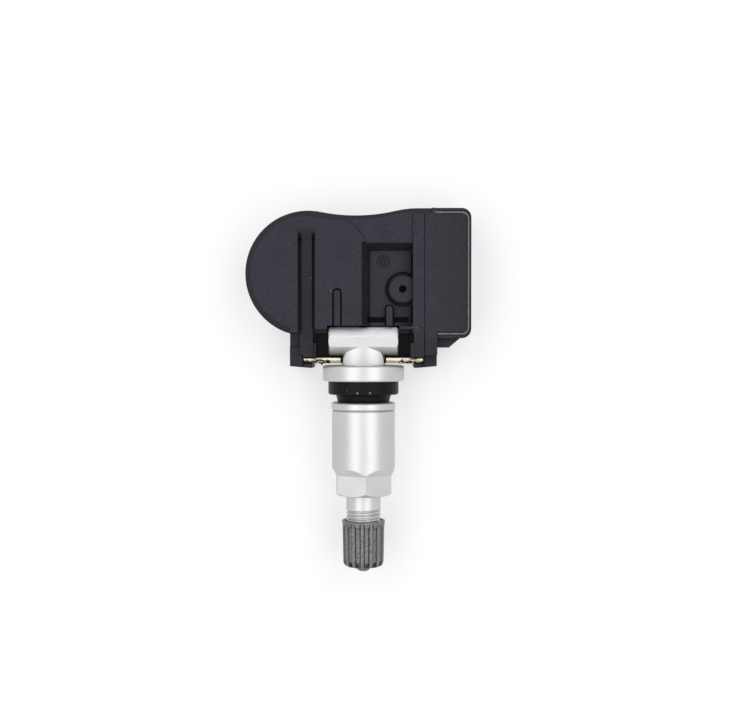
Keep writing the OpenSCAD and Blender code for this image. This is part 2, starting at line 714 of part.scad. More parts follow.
module valve_stem() color(alloy) {
    edge = 0.5;
    bevel = 0.3;
    end_bevel = 0.7;
    thread_start = stem_l - thread_l;
    difference() {
        union() {
            // Cross bar with a flat on its front
            difference() {
                translate([0, pivot_y, 0]) rotate([0, 90, 0]) rotate_extrude()
                    polygon([[0, -bar_l / 2], [bar_d / 2 - bevel, -bar_l / 2],
                             [bar_d / 2, bevel - bar_l / 2], [bar_d / 2, bar_l / 2 - bevel],
                             [bar_d / 2 - bevel, bar_l / 2], [0, bar_l / 2]]);
                block([-bar_l, pivot_y - bar_d, bar_flat], [bar_l, pivot_y + bar_d, bar_d]);
            }
            translate([0, ball_y, 0]) sphere(d = neck_d);
            // Neck, collar, shank and cap thread
            turned(concat(
                [[0, -ball_y], [neck_d / 2, -ball_y], [neck_d / 2, -collar_t]],
                arc([collar_d / 2 - edge, edge - collar_t], edge, -90, 0),
                arc([collar_d / 2 - edge, -edge], edge, 0, 90),
                [[flange_d / 2 + 0.15, 0], [flange_d / 2 + 0.15, -flange_seat],
                 [shank_d / 2, -flange_seat], [shank_d / 2, shank_end - 0.6],
                 [plain_d / 2, shank_end], [plain_d / 2, thread_start - 0.3],
                 [thread_d / 2, thread_start], [thread_d / 2, stem_l - end_bevel],
                 [thread_d / 2 - end_bevel, stem_l], [0, stem_l]]));
        }
        // Bore for the core, its taper seat, the chamber and the air passage
        turned([[0, stem_l + 1], [mouth_r + 0.35, stem_l + 1], [mouth_r + 0.35, stem_l],
                [mouth_r, stem_l - 0.35], [mouth_r, plug_start],
                [core_barrel_d / 2 + bore_step, plug_start],
                [core_barrel_d / 2 + bore_step, gasket_end], [chamber_r, gasket_start],
                [chamber_r, chamber_end], [air_d / 2, chamber_end - 1], [0, chamber_end - 1]]);
        turned([[0, chamber_end], [air_d / 2, chamber_end], [air_d / 2, -pivot_y - bar_d],
                [0, -pivot_y - bar_d]]);
    }
}

module rim_grommet() color(rubber) {
    fillet = 0.45;
    turned(concat(
        [[shank_d / 2 + face_gap, face_gap - flange_seat], [flange_d / 2, face_gap - flange_seat]],
        arc([flange_d / 2 - 0.4, flange_t - 0.4], 0.4, 0, 90, 3),
        arc([sleeve_d / 2 + fillet, flange_t + fillet], fillet, 270, 180, 3),
        [[sleeve_d / 2 - 0.3, sleeve_end - face_gap],
         [shank_d / 2 + face_gap, sleeve_end - face_gap]]));
}

module nut_washer() color(alloy)
    turned([[shank_d / 2 + 0.15, sleeve_end], [washer_d / 2 - 0.25, sleeve_end],
            [washer_d / 2, sleeve_end + 0.25], [washer_d / 2, washer_end - 0.35],
            [washer_d / 2 - 0.35, washer_end], [shank_d / 2 + 0.15, washer_end]]);

module collar_nut() color(alloy) {
    skirt_r = skirt_d / 2;
    flat_r = hex_af / 2;
    relief_r = shank_d / 2 + 1.0;
    difference() {
        turned([[0, nut_start], [skirt_r - 0.2, nut_start], [skirt_r, nut_start + 0.2],
                [skirt_r, nut_end - 0.85], [flat_r - 0.1, nut_end], [0, nut_end]]);
        // Six flats milled into the turned blank, each with a sloped run-out
        for (i = [0:5]) rotate([0, 60 * i + 30 + hex_turn, 0])
            rotate([90, 0, 90]) translate([0, 0, -skirt_r]) linear_extrude(2 * skirt_r)
                polygon([[-cone_start, skirt_r], [-hex_start, flat_r], [-nut_end - 1, flat_r],
                         [-nut_end - 1, skirt_r + 1], [-cone_start, skirt_r + 1]]);
        turned([[0, nut_start - 1], [relief_r, nut_start - 1], [relief_r, nut_start + 5.5],
                [shank_d / 2 + fit_gap, nut_start + 6.5], [shank_d / 2 + fit_gap, nut_end + 1],
                [0, nut_end + 1]]);
    }
}

module core_plug() color(brass) difference() {
    turned([[0, plug_start], [core_thread_d / 2, plug_start], [core_thread_d / 2, core_end - 2],
            [core_thread_d / 2 - 0.4, core_end - 1.6], [core_thread_d / 2 - 0.4, core_end],
            [0, core_end]]);
    turned([[0, plug_start - 1], [0.95, plug_start - 1], [0.95, core_end + 1], [0, core_end + 1]]);
    both_sides() block([plug_flat_x, -core_end - 1, -core_thread_d],
                       [core_thread_d, plug_flat_l - core_end, core_thread_d]);
}

module core_barrel() color(brass)
    turned([[pin_d / 2 + 0.15, barrel_start], [core_barrel_d / 2, barrel_start],
            [core_barrel_d / 2, barrel_end],
            [1.25, barrel_end], [1.25, spring_start], [pin_d / 2 + 0.15, spring_start]]);

module core_gasket() color("#303034")
    turned([[core_barrel_d / 2 + face_gap / 2, gasket_start + 0.3],
            [chamber_r - 0.01, gasket_start + 0.3],
            [core_barrel_d / 2 + bore_step - 0.07, gasket_end - 0.05],
            [core_barrel_d / 2 + face_gap / 2, gasket_end - 0.05]]);

module core_pin() color(brass)
    turned([[0, cup_start + 0.3], [pin_d / 2, cup_start + 0.3], [pin_d / 2, pin_seat],
            [0.8, pin_seat], [0.8, pin_seat + 0.4], [pin_d / 2, pin_seat + 0.4],
            [pin_d / 2, core_end + 0.45], [pin_d / 2 - 0.12, core_end + 0.6], [0, core_end + 0.6]]);

module core_cup() color("#3b3b40")
    turned([[0, cup_start], [core_barrel_d / 2 - 0.35, cup_start],
            [core_barrel_d / 2 - 0.15, cup_start + 0.4], [core_barrel_d / 2 - 0.15, cup_end],
            [pin_d / 2 + 0.02, cup_end], [pin_d / 2 + 0.02, cup_start + 0.28], [0, cup_start + 0.28]]);

// Coil spring: a ring of points swept along a helix, closed at both ends
function spring_ring(i) = let (t = i / (spring_turns * spring_steps), a = 360 * spring_turns * t)
    [for (j = [0:5]) let (b = 60 * j, r = spring_r + wire_r * cos(b))
        [r * cos(a), -spring_base - spring_rise * t - wire_r * sin(b), r * sin(a)]];

module core_spring() color("#9c9ca0") {
    n = spring_turns * spring_steps;
    points = [for (i = [0:n]) each spring_ring(i)];
    walls = [for (i = [0:n - 1], j = [0:5])
        [6 * i + j, 6 * i + (j + 1) % 6, 6 * i + 6 + (j + 1) % 6, 6 * i + 6 + j]];
    ends = [[for (j = [5:-1:0]) j], [for (j = [0:5]) 6 * n + j]];
    polyhedron(points, concat(walls, ends));
}

module valve_cap() color(cap_grey) {
    round_r = 1.2;
    flute_r = 0.8;
    lip_end = cap_start + 1.6;
    flute_start = lip_end + 0.1;
    difference() {
        turned(concat(
            [[cap_bore_r + 0.3, cap_start], [cap_lip_r - 0.12, cap_start],
             [cap_lip_r, cap_start + 0.12], [cap_lip_r, lip_end - 0.15],
             [cap_r, lip_end]],
            arc([cap_r - round_r, cap_end - round_r], round_r, 0, 90),
            [[tip_d / 2 + 0.2, cap_end], [tip_d / 2, cap_end + 0.2],
             [tip_d / 2, cap_end + tip_l - 0.2], [tip_d / 2 - 0.2, cap_end + tip_l],
             [0, cap_end + tip_l], [0, cap_floor], [cap_bore_r, cap_floor], [cap_bore_r, cap_start + 0.3]]));
        for (i = [0:cap_flutes - 1])
            rotate([90, 0, 0]) rotate([0, 0, 360 * (i + 0.5) / cap_flutes - flute_turn])
                translate([cap_r + flute_r - flute_depth, 0, flute_start])
                    cylinder(r = flute_r, h = cap_l);
    }
}

module cap_seal() color("#232327")
    turned([[0, stem_l + face_gap], [thread_d / 2 - 0.3, stem_l + face_gap],
            [thread_d / 2 - 0.3, cap_floor - eps], [0, cap_floor - eps]]);

front_housing();
rear_cover();
seam_bead();
retaining_clip();
battery_cell();
battery_tab_positive();
battery_tab_negative();
circuit_board();
sensor_chip();
sensor_chip_leads();
port_gasket();
crystal();
lf_coil_core();
lf_coil_winding();
rf_antenna();
capacitors();
valve_stem();
rim_grommet();
nut_washer();
collar_nut();
core_plug();
core_barrel();
core_gasket();
core_pin();
core_spring();
core_cup();
valve_cap();
cap_seal();
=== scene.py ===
"""Looks of a clamp-in tyre pressure sensor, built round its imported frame.

The sensor lies on its flat back on a white table and is seen from above, with the valve pointing
down the picture. X is to the right, Y is up the picture and Z points at the camera. Every length
in this file is in millimetres until a mesh or a Blender setting takes it, which is in metres.
"""

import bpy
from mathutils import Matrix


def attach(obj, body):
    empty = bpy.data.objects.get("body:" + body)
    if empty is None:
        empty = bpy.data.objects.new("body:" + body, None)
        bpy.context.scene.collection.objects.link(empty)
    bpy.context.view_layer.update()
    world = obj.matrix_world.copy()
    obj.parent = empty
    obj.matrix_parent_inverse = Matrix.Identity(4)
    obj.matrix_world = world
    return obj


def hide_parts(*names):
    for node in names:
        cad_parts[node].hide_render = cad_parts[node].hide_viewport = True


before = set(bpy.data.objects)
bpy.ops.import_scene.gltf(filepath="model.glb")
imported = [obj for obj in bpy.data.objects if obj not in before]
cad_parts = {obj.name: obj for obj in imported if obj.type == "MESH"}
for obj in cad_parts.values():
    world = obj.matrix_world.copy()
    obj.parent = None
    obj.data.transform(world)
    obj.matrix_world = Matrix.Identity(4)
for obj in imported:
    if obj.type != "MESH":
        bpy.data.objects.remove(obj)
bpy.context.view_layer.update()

import logging
import math
from dataclasses import dataclass
from enum import Enum, IntEnum
from functools import partial, reduce
from typing import Any

import bmesh
import bpy
import numpy as np
from mathutils import Vector

log = logging.getLogger("tyre_sensor")

Array = np.ndarray
Material = bpy.types.Material
Node = bpy.types.Node
Pair = tuple[float, float]
Piece = bpy.types.Object

MM = 0.001
# Name of the mesh attribute that carries painted shade, and painted highlights below nought
PAINTED_LIGHT = "painted_light"
WHITE = (1.0, 1.0, 1.0, 1.0)
# The middle part of a noise's values, which holds nearly all of them
NOISE_RANGE = (0.3, 0.7)

# Kinds of node with their mode: a soft step, a product, the larger number and a mix of colours
STEP, TIMES, MOST, MIX = "MapRange SMOOTHSTEP", "Math MULTIPLY", "Math MAXIMUM", "Mix RGBA"
# The property that holds the mode of each such kind
MODES = {"MapRange": "interpolation_type", "Math": "operation", "VectorMath": "operation",
         "Mix": "data_type"}


# Colours and nodes

def linear(hex_colour: str) -> tuple[float, float, float, float]:
    """Turns an sRGB hex colour to linear light.

    Args:
        hex_colour: six hex digits after a hash sign.

    Returns:
        Linear red, green, blue and an alpha of one.
    """
    channels = [int(hex_colour[i:i + 2], 16) / 255 for i in (1, 3, 5)]
    lit = [c / 12.92 if c <= 0.04045 else ((c + 0.055) / 1.055) ** 2.4 for c in channels]
    return (*lit, 1.0)


class Net:
    """The node tree of a material or a world.

    Attributes:
        tree: the node tree.
    """

    def __init__(self, owner: Material | bpy.types.World) -> None:
        """Empties the node tree.

        Args:
            owner: the material or the world.
        """
        owner.use_nodes = True
        self.tree = owner.node_tree
        self.tree.nodes.clear()

    def add(self, kind: str, *values: Any, **settings: Any) -> Node:
        """Adds a shader node with its settings, values and links.

        Args:
            kind: the node's type name after its common prefix, and its mode after a space.
            values: values, sockets or nodes for its live inputs in order, or one dictionary of
                them by input name. A node stands for its first live output.
            settings: the node's own properties.

        Returns:
            The new node.
        """
        name, _, mode = kind.partition(" ")
        node = self.tree.nodes.new("ShaderNode" + name)
        if mode:
            settings[MODES[name]] = mode
        for setting, value in settings.items():
            setattr(node, setting, value)
        if values and isinstance(values[0], dict):
            feeds = [(node.inputs[key], value) for key, value in values[0].items()]
        else:
            feeds = zip([socket for socket in node.inputs if socket.enabled], values)
        for socket, value in feeds:
            if isinstance(value, Node):
                value = next(output for output in value.outputs if output.enabled)
            if isinstance(value, bpy.types.NodeSocket):
                self.tree.links.new(value, socket)
            else:
                socket.default_value = value
        return node

    def chain(self, kind: str, *values: Any) -> Node:
        """Joins values with nodes of one kind, each of which takes in one more value."""
        return reduce(partial(self.add, kind), values)

    def off(self, value: Any, middle: float = 0.0) -> Node:
        """Gives how far a number is from a middle."""
        return self.add("Math ABSOLUTE", self.add("Math SUBTRACT", value, middle))

    def place(self) -> Node:
        """Gives the coordinates on the object in millimetres."""
        return self.add("VectorMath SCALE", self.add("TexCoord").outputs["Object"], 1 / MM)

    def ring(self, flat: Node, centre: Pair, radius: float, fade: Pair) -> Node:
        """Gives one where the distance from a centre is near a radius, and nought beyond the fade."""
        away = self.add("VectorMath DISTANCE", flat, (*centre, 0.0))
        return self.add(STEP, self.off(away, radius), *fade)

    def seen(self) -> Node:
        """Gives one on camera, glossy and transmission rays and nought on others."""
        rays = self.add("LightPath").outputs
        return self.chain(MOST, *(rays[f"Is {kind} Ray"] for kind in ("Camera", "Glossy", "Transmission")))


# Meshes

def hang(name: str, data: bpy.types.ID) -> Piece:
    """Puts an object into the scene.

    Args:
        name: the object's name.
        data: its mesh, light or camera.

    Returns:
        The object, at the origin.
    """
    piece = bpy.data.objects.new(name, data)
    bpy.context.scene.collection.objects.link(piece)
    return piece


def merge(mesh: bpy.types.Mesh, gap: float, turn: bool = True) -> None:
    """Merges the vertices of a mesh that lie together.

    Args:
        mesh: the mesh.
        gap: the largest distance between them.
        turn: also turns the faces outwards.
    """
    build = bmesh.new()
    build.from_mesh(mesh)
    bmesh.ops.remove_doubles(build, verts=build.verts, dist=gap * MM)
    if turn:
        bmesh.ops.recalc_face_normals(build, faces=build.faces)
    build.to_mesh(mesh)
    build.free()


def solid(name: str, points: Array, faces: list[Array], painted_light: Array | None = None) -> Piece:
    """Makes a closed mesh object from points and faces, which it turns outwards.

    Args:
        name: the piece's name.
        points: one row for each vertex, in millimetres.
        faces: arrays of vertex numbers, one row for each face.
        painted_light: how much painted shade each vertex carries, below nought where a highlight is
        painted, for a material that reads it.

    Returns:
        The new object, at the origin.
    """
    mesh = bpy.data.meshes.new(name)
    mesh.from_pydata((points * MM).tolist(), [], [row for part in faces for row in part.tolist()])
    if painted_light is not None:
        layer = mesh.attributes.new(PAINTED_LIGHT, "FLOAT", "POINT")
        layer.data.foreach_set("value", painted_light.astype(np.float32).ravel())
    merge(mesh, 0.00002)
    return hang(name, mesh)


def grid_faces(rows: int, columns: int, closed: bool = False) -> Array:
    """Numbers the quads of a grid of vertices that is stored row by row.

    Args:
        rows, columns: the grid's size in vertices.
        closed: joins the last column to the first.

    Returns:
        One row of four vertex numbers for each quad.
    """
    i, j = np.meshgrid(np.arange(rows - 1), np.arange(columns - (not closed)), indexing="ij")
    here, below, right = i * columns, (i + 1) * columns, (j + 1) % columns
    return joined(here + j, below + j, below + right, here + right)


def joined(*parts: Array | float) -> Array:
    """Sets coordinates side by side, with one row for each point."""
    return np.stack(np.broadcast_arrays(*parts), axis=-1).reshape(-1, len(parts))


def turned(r: Array, d: Array, a: Array) -> Array:
    """Places points at radius r from the valve's axis, distance d along it and angle a round it."""
    return joined(-r * np.sin(a), -d, r * np.cos(a))


def smooth(low: float, high: float, value: Array) -> Array:
    """Rises from nought at low to one at high with level ends, as 3t² - 2t³."""
    t = np.clip((value - low) / (high - low), 0.0, 1.0)
    return t * t * (3 - 2 * t)


def bell(value: Array, middle: float, width: float) -> Array:
    """Gives one at the middle and less on both sides, as e to the power of -t²."""
    return np.exp(-((value - middle) / width) ** 2)


def settle(piece: Piece, finish: Material, sharp: float, body: str, slot: str, *nodes: str) -> None:
    """Shades a piece, lets it ride on its body and hides the CAD nodes that it replaces.

    Args:
        piece: the object.
        finish: its material.
        sharp: the least angle between two faces that makes a sharp edge, in degrees.
        body: the CAD body that carries it.
        slot: the record's material slot; not used.
        nodes: the CAD nodes that it replaces.
    """
    piece.data.materials.clear()
    piece.data.materials.append(finish)
    piece.data.shade_smooth()
    piece.data.set_sharp_from_angle(angle=math.radians(sharp))
    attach(piece, body)
    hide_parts(*nodes)
    log.info("built %s on %s, %d faces", piece.name, body, len(piece.data.polygons))


# Finishes

class Lay(Enum):
    """The way in which a surface's fine marks run."""

    GRAIN = (1.0, 1.0, 1.0)
    TURNED = (0.02, 1.0, 0.02)
    ROLLED = (0.06, 1.0, 1.0)


@dataclass(frozen=True)
class Finish:
    """A procedural material on Object coordinates.

    Two colours are mixed by a soft mottle, a fine grain gives the bump, and the mottle also moves
    the roughness. Pale specks of dust may lie on it, and painted shade may darken its gaps and corners.

    Attributes:
        name: the real material's name.
        dark, light: the two ends of its colour, as sRGB hex.
        metallic, rough, rough_swing, specular, coat: the shader's values.
        mottle: size of the colour patches.
        grain, grain_depth: size and height of the fine marks.
        lay: how the fine marks run.
        dust: share of the dust cells that hold a speck.
        hollow_shade, reach: how far painted shade darkens narrow gaps and corners, and how far the
            look-round goes.
        fleck: share of the colour that follows the fine marks.
        edge: radius of the rounding that the shading gives to sharp edges.
        dust_cell, dust_size, dust_show: a dust cell's size, the share of it that its speck takes
            up, and how far the speck covers the colour.
    """

    name: str
    dark: str
    light: str
    metallic: float = 0.0
    rough: float = 0.5
    rough_swing: float = 0.06
    specular: float = 0.5
    coat: float = 0.0
    mottle: float = 3.0
    grain: float = 0.3
    grain_depth: float = 0.01
    lay: Lay = Lay.GRAIN
    dust: float = 0.0
    hollow_shade: float = 0.0
    reach: float = 3.0
    fleck: float = 0.0
    edge: float = 0.0
    dust_cell: float = 0.9
    dust_size: float = 0.13
    dust_show: float = 0.35

    def material(self) -> Material:
        """Makes the Blender material.

        Returns:
            The material, with one surface shader.
        """
        made = bpy.data.materials.new(self.name)
        net = Net(made)
        place = net.place()
        mottle = net.add("TexNoise", {
            "Vector": place, "Scale": 1 / self.mottle, "Detail": 5.0, "Roughness": 0.62})
        marks = net.add("VectorMath MULTIPLY", place, self.lay.value)
        grain = net.add("TexNoise", {"Vector": marks, "Scale": 1 / self.grain, "Detail": 2.0})
        share = net.add("MapRange", net.add("Mix FLOAT", self.fleck, mottle, grain), *NOISE_RANGE)
        colour = net.add(MIX, share, linear(self.dark), linear(self.light))
        colour = self.marked(net, colour)
        if self.dust:
            colour = self.dusted(net, colour)
        # Painted shade in gaps and corners
        if self.hollow_shade:
            colour = self.shade_hollows(net, colour)
        relief = {"Height": grain, "Distance": self.grain_depth * MM, "Strength": 1.0}
        if self.edge:
            relief["Normal"] = net.add("Bevel", {"Radius": self.edge * MM}, samples=6)
        swing = (self.rough - self.rough_swing, self.rough + self.rough_swing)
        values = {"Base Color": colour, "Metallic": self.metallic, "Coat Weight": self.coat,
                  "Roughness": net.add("MapRange", mottle, *NOISE_RANGE, *swing),
                  "Normal": net.add("Bump", relief)}
        if not self.metallic:
            values["Specular IOR Level"] = self.specular
        values.update(self.local_values(net))
        net.add("OutputMaterial", net.add("BsdfPrincipled", values))
        made.diffuse_color = linear(self.light)
        return made

    def marked(self, net: Net, colour: Node) -> Node:
        """Gives back the plain colour; a finish with marks of its own adds them here."""
        return colour

    def local_values(self, net: Net) -> dict[str, Node]:
        """Gives the shader values that change over the part; none for a finish that is even."""
        return {}

    def shade_hollows(self, net: Net, colour: Node) -> Node:
        """Paints shade into a colour in gaps and corners, by how much of the space near it is open.

        Args:
            net: the material's nodes.
            colour: the even colour.

        Returns:
            The colour, with painted shade in the hollows.
        """
        space = net.add("AmbientOcclusion", {"Distance": self.reach * MM}, samples=8).outputs["AO"]
        share = net.add("MapRange", space, 0.25, 0.85, 1 - self.hollow_shade, 1.0)
        return net.add("VectorMath SCALE", colour, share)

    def dusted(self, net: Net, colour: Node) -> Node:
        """Lays pale specks on a colour.

        A cell's own random value picks the cells with a speck, and the distance from the cell's
        point cuts it round.

        Args:
            net: the material's nodes.
            colour: the clean colour.

        Returns:
            The colour with its specks.
        """
        cells = net.add("TexVoronoi", {"Vector": net.place(), "Scale": 1 / self.dust_cell}).outputs
        near = net.add("Math LESS_THAN", cells["Distance"], self.dust_size)
        picked = net.add("Math LESS_THAN", net.add("SeparateColor", cells["Color"]), self.dust)
        return net.add(MIX, net.chain(TIMES, near, picked, self.dust_show), colour, linear("#b8b4b0"))


@dataclass(frozen=True)
class SensorNylon(Finish):
    """The housing's nylon, with painted shade on its strip, ears, slopes, pin rings, moat and weld gaps.

    Attributes:
        shaded_strip: left, right, bottom and top of the strip between the grooves, darkened partly as
            painted shade of its recess and partly for its moulded text, which is left out.
            far, foot: where the block's darkening and the painted shade of the lower ears begin, and where
            they end.
            pin, pin_radii: centre and radii of the rings that an ejector pin leaves, drawn as painted shade.
            port, moat: centre of the air port, and radius of the ring of painted shade in the moat round
            its boss.
        recess_end: where the recess with the boss ends.
        weld_centre, weld_half, weld_radius: middle, half size and corner radius of the weld's path.
        weld_start: where the weld starts across the housing.
        shaded_strip_dark, far_dark, ear_shade_dark, pin_ring_shade, moat_shade, weld_gap_shade_dark,
        slope_shade_dark: how much darker the strip, the block, the ears, the rings and the moat are,
        and how dark the painted shade beside the weld and on the sloping faces is.
    """

    shaded_strip: tuple[float, float, float, float] = (-13.75, -11.4, 9.0, 31.5)
    far: Pair = (13.0, 25.0)
    foot: Pair = (11.5, 7.0)
    pin: Pair = (4.46, 26.7)
    pin_radii: Pair = (1.3, 0.6)
    port: Pair = (8.75, 20.53)
    moat: float = 3.2
    recess_end: float = 11.0
    weld_centre: Pair = (10.0, 24.0)
    weld_half: Pair = (13.255, 13.395)
    weld_radius: float = 1.36
    weld_start: float = 16.0
    shaded_strip_dark: float = 0.45
    far_dark: float = 0.34
    ear_shade_dark: float = 0.36
    pin_ring_shade: float = 0.62
    moat_shade: float = 0.72
    weld_gap_shade_dark: float = 0.85
    slope_shade_dark: float = 0.42

    def marked(self, net: Net, colour: Node) -> Node:
        """Paints shade on the strip, the ears, the rings, the moat, the gaps beside the weld and the slopes,
        and darkens the block.

        The strip is a product of four soft steps; the block darkens along X and the ears' painted shade
        along Y. The painted shade beside the weld follows the distance from a rectangle with round
        corners: the length of what sticks out of the inner rectangle, less the radius.

        Args:
            net: the material's nodes.
            colour: the plain colour.

        Returns:
            The colour with its marks.
        """
        x, y, z = net.add("SeparateXYZ", net.place()).outputs
        left, right, bottom, top = self.shaded_strip
        # Darker strip between the grooves: partly painted shade of its recess, partly the tone of its
        # moulded text, which is left out
        strip = net.chain(TIMES, net.add(STEP, x, left - 0.1, left + 0.1),
                          net.add(STEP, x, right + 0.1, right - 0.1),
                          net.add(STEP, y, bottom - 0.3, bottom + 0.3),
                          net.add(STEP, y, top + 3.0, top - 1.0), self.shaded_strip_dark)
        # The block is darker towards its right end
        far = net.add(TIMES, net.add(STEP, x, *self.far), self.far_dark)
        # Painted shade on the lower ears, towards the bottom of the picture
        foot = net.add(TIMES, net.add(STEP, y, *self.foot), self.ear_shade_dark)
        flat = net.add("CombineXYZ", x, y)
        # Painted shade along the steps of the ejector pin's rings
        rings = [net.add(TIMES, net.ring(flat, self.pin, radius, (0.28, 0.1)), self.pin_ring_shade)
                 for radius in self.pin_radii]
        # Painted shade in the moat round the port's boss
        moat = net.chain(TIMES, net.ring(flat, self.port, self.moat, (0.5, 0.3)),
                         net.add(STEP, x, self.recess_end + 0.02, self.recess_end - 0.02), self.moat_shade)
        front = net.add(TIMES, net.chain(MOST, strip, far, foot, moat, *rings), net.add(STEP, z, 0.0, 0.5))
        # Painted shade in the gaps on both sides of the weld bead
        inner = [half - self.weld_radius for half in self.weld_half]
        spread = net.add("VectorMath SUBTRACT", flat, (*self.weld_centre, 0.0))
        out = net.add("VectorMath SUBTRACT", net.add("VectorMath ABSOLUTE", spread), (*inner, 0.0))
        length = net.add("VectorMath LENGTH", net.add("VectorMath MAXIMUM", out, (0.0, 0.0, 0.0)))
        weld = net.chain(TIMES, net.add(STEP, net.off(length, self.weld_radius), 0.55, 0.35),
                         net.add(STEP, x, self.weld_start, self.weld_start + 0.2), self.weld_gap_shade_dark)
        # Painted shade on sloping faces, darker the further they tilt from facing up
        up = net.add("SeparateXYZ", net.add("TexCoord").outputs["Normal"]).outputs["Z"]
        slope_shade = net.add(TIMES, net.add(STEP, net.off(up), 0.96, 0.8), self.slope_shade_dark)
        dark = net.chain(MOST, front, weld, slope_shade)
        return net.add("VectorMath SCALE", colour, net.add("Math SUBTRACT", 1.0, dark))


@dataclass(frozen=True)
class TornSteel(Finish):
    """Sheet steel that a press has cut: a burnished half, and a broken half with cracks.

    Attributes:
        burnished, broken, crack: colours of the two halves and of the cracks, as sRGB hex.
        split: height over the rim face where the burnished half ends.
        face: height over the valve's axis above which the cut shows.
        torn_from: distance from the middle where the cracks start.
        wander, wander_by: size of the bends in the line between the halves, and how far they go.
        vein: size of the noise whose middle value makes the cracks.
    """

    burnished: str = "#d8d5cc"
    broken: str = "#a99c7f"
    crack: str = "#1d1611"
    split: float = 4.7
    face: float = 1.2
    torn_from: float = 7.3
    wander: float = 1.1
    wander_by: float = 0.9
    vein: float = 0.85

    def marked(self, net: Net, colour: Node) -> Node:
        """Colours the two halves of the cut, and draws cracks where a noise is near its middle.

        Args:
            net: the material's nodes.
            colour: the plain colour.

        Returns:
            The colour with the marks of the press.
        """
        place = net.place()
        x, y, z = net.add("SeparateXYZ", place).outputs
        wander = net.add("TexNoise", {"Vector": place, "Scale": 1 / self.wander, "Detail": 3.0})
        height = net.add("Math ADD", y, net.add(TIMES, wander, self.wander_by))
        lower = net.add(STEP, height, self.split + 0.6, self.split + 0.3)
        halves = net.add(MIX, lower, linear(self.burnished), linear(self.broken))
        drawn_out = net.add("VectorMath MULTIPLY", place, (0.45, 1.0, 0.3))
        veins = net.add("TexNoise", {
            "Vector": drawn_out, "Scale": 1 / self.vein, "Detail": 3.0, "Roughness": 0.55})
        cracks = net.chain(TIMES, net.add(STEP, net.off(veins, 0.5), 0.085, 0.035),
                           net.add(STEP, height, self.split + 0.8, self.split + 0.5),
                           net.add(STEP, net.off(x), self.torn_from - 0.3, self.torn_from + 0.4))
        cut = net.add(STEP, z, self.face - 0.1, self.face + 0.1)
        return net.add(MIX, cut, colour, net.add(MIX, cracks, halves, linear(self.crack)))


@dataclass(frozen=True)
class ValveAlloy(Finish):
    """The valve's anodised alloy, bright where it is turned, and matt on the bar's far flank and the ball's
    top, which also carry painted light as a paler colour.

    Attributes:
        bar: height over the rim face where the bar's far flank starts.
        ball, level: where the ball starts along the valve and over its axis.
        foot_metallic: the shader's metallic value on the matt flank and ball top.
        painted_light_colour: the paler colour painted there as light, as sRGB hex.
    """

    bar: float = 10.1
    ball: float = 5.6
    level: float = 3.1
    foot_metallic: float = 0.0
    painted_light_colour: str = "#f6f6f8"

    def rise(self, net: Net) -> Node:
        """Gives nought on the turned part and one on the bar's far flank and the ball's top.

        Args:
            net: the material's nodes.

        Returns:
            The number's node.
        """
        _, y, z = net.add("SeparateXYZ", net.place()).outputs
        flank = net.add(STEP, y, self.bar - 0.4, self.bar + 0.4)
        dome = net.add(TIMES, net.add(STEP, y, self.ball - 1.0, self.ball + 1.2),
                       net.add(STEP, z, self.level - 0.1, self.level + 0.2))
        return net.add(MOST, flank, dome)

    def marked(self, net: Net, colour: Node) -> Node:
        """Paints the bar's far flank and the ball's top paler, as painted light."""
        # Painted light: a paler colour on the upward-facing flank and ball top
        return net.add(MIX, self.rise(net), colour, linear(self.painted_light_colour))

    def local_values(self, net: Net) -> dict[str, Node]:
        """Makes the foot less of a mirror than the turned part."""
        return {"Metallic": net.add("MapRange", self.rise(net), 0.0, 1.0, self.metallic, self.foot_metallic)}


@dataclass(frozen=True)
class CapPlastic(Finish):
    """The cap's plastic, with the painted shade and painted highlights that its mesh carries per vertex."""

    def marked(self, net: Net, colour: Node) -> Node:
        """Darkens the colour by the mesh's painted shade, which is below nought where a highlight is painted
        on the ribs.
        """
        painted_light = net.add("Attribute", attribute_name=PAINTED_LIGHT).outputs["Fac"]
        return net.add("VectorMath SCALE", colour, net.add("Math SUBTRACT", 1.0, painted_light))


@dataclass(frozen=True)
class SealRubber(Finish):
    """The grommet's rubber with two painted highlights: pale spots where the softboxes glint on its rounded
    flange.

    Attributes:
        glints: X, Y and Z of the painted highlights.
        glint_size: their radius.
        glint_show: how far a highlight's paler colour shows.
    """

    glints: tuple[tuple[float, float, float], ...] = ((-1.25, -2.45, 7.8), (1.5, -2.4, 7.75))
    glint_size: float = 0.2
    glint_show: float = 0.6

    def marked(self, net: Net, colour: Node) -> Node:
        """Paints each highlight where the distance from its place is small.

        Args:
            net: the material's nodes.
            colour: the plain colour.

        Returns:
            The colour with its nibs.
        """
        # Painted highlights of the two softboxes on the flange's rounded edge
        for glint in self.glints:
            away = net.add("VectorMath DISTANCE", net.place(), glint)
            near = net.add(STEP, away, self.glint_size * 1.6, self.glint_size * 0.5)
            colour = net.add(MIX, net.add(TIMES, near, self.glint_show), colour, linear("#b9a3a2"))
        return colour


@dataclass(frozen=True)
class Metal(Finish):
    """A bare metal whose marks are too fine to see."""

    metallic: float = 1.0
    rough: float = 0.3
    mottle: float = 1.0
    grain: float = 0.1
    grain_depth: float = 0.001


# What the two nylon mouldings share
NYLON = {"specular": 0.22, "mottle": 5.0, "grain_depth": 0.012, "dust": 0.008, "hollow_shade": 0.9, "reach": 4.5,
         "fleck": 0.65, "edge": 0.14}

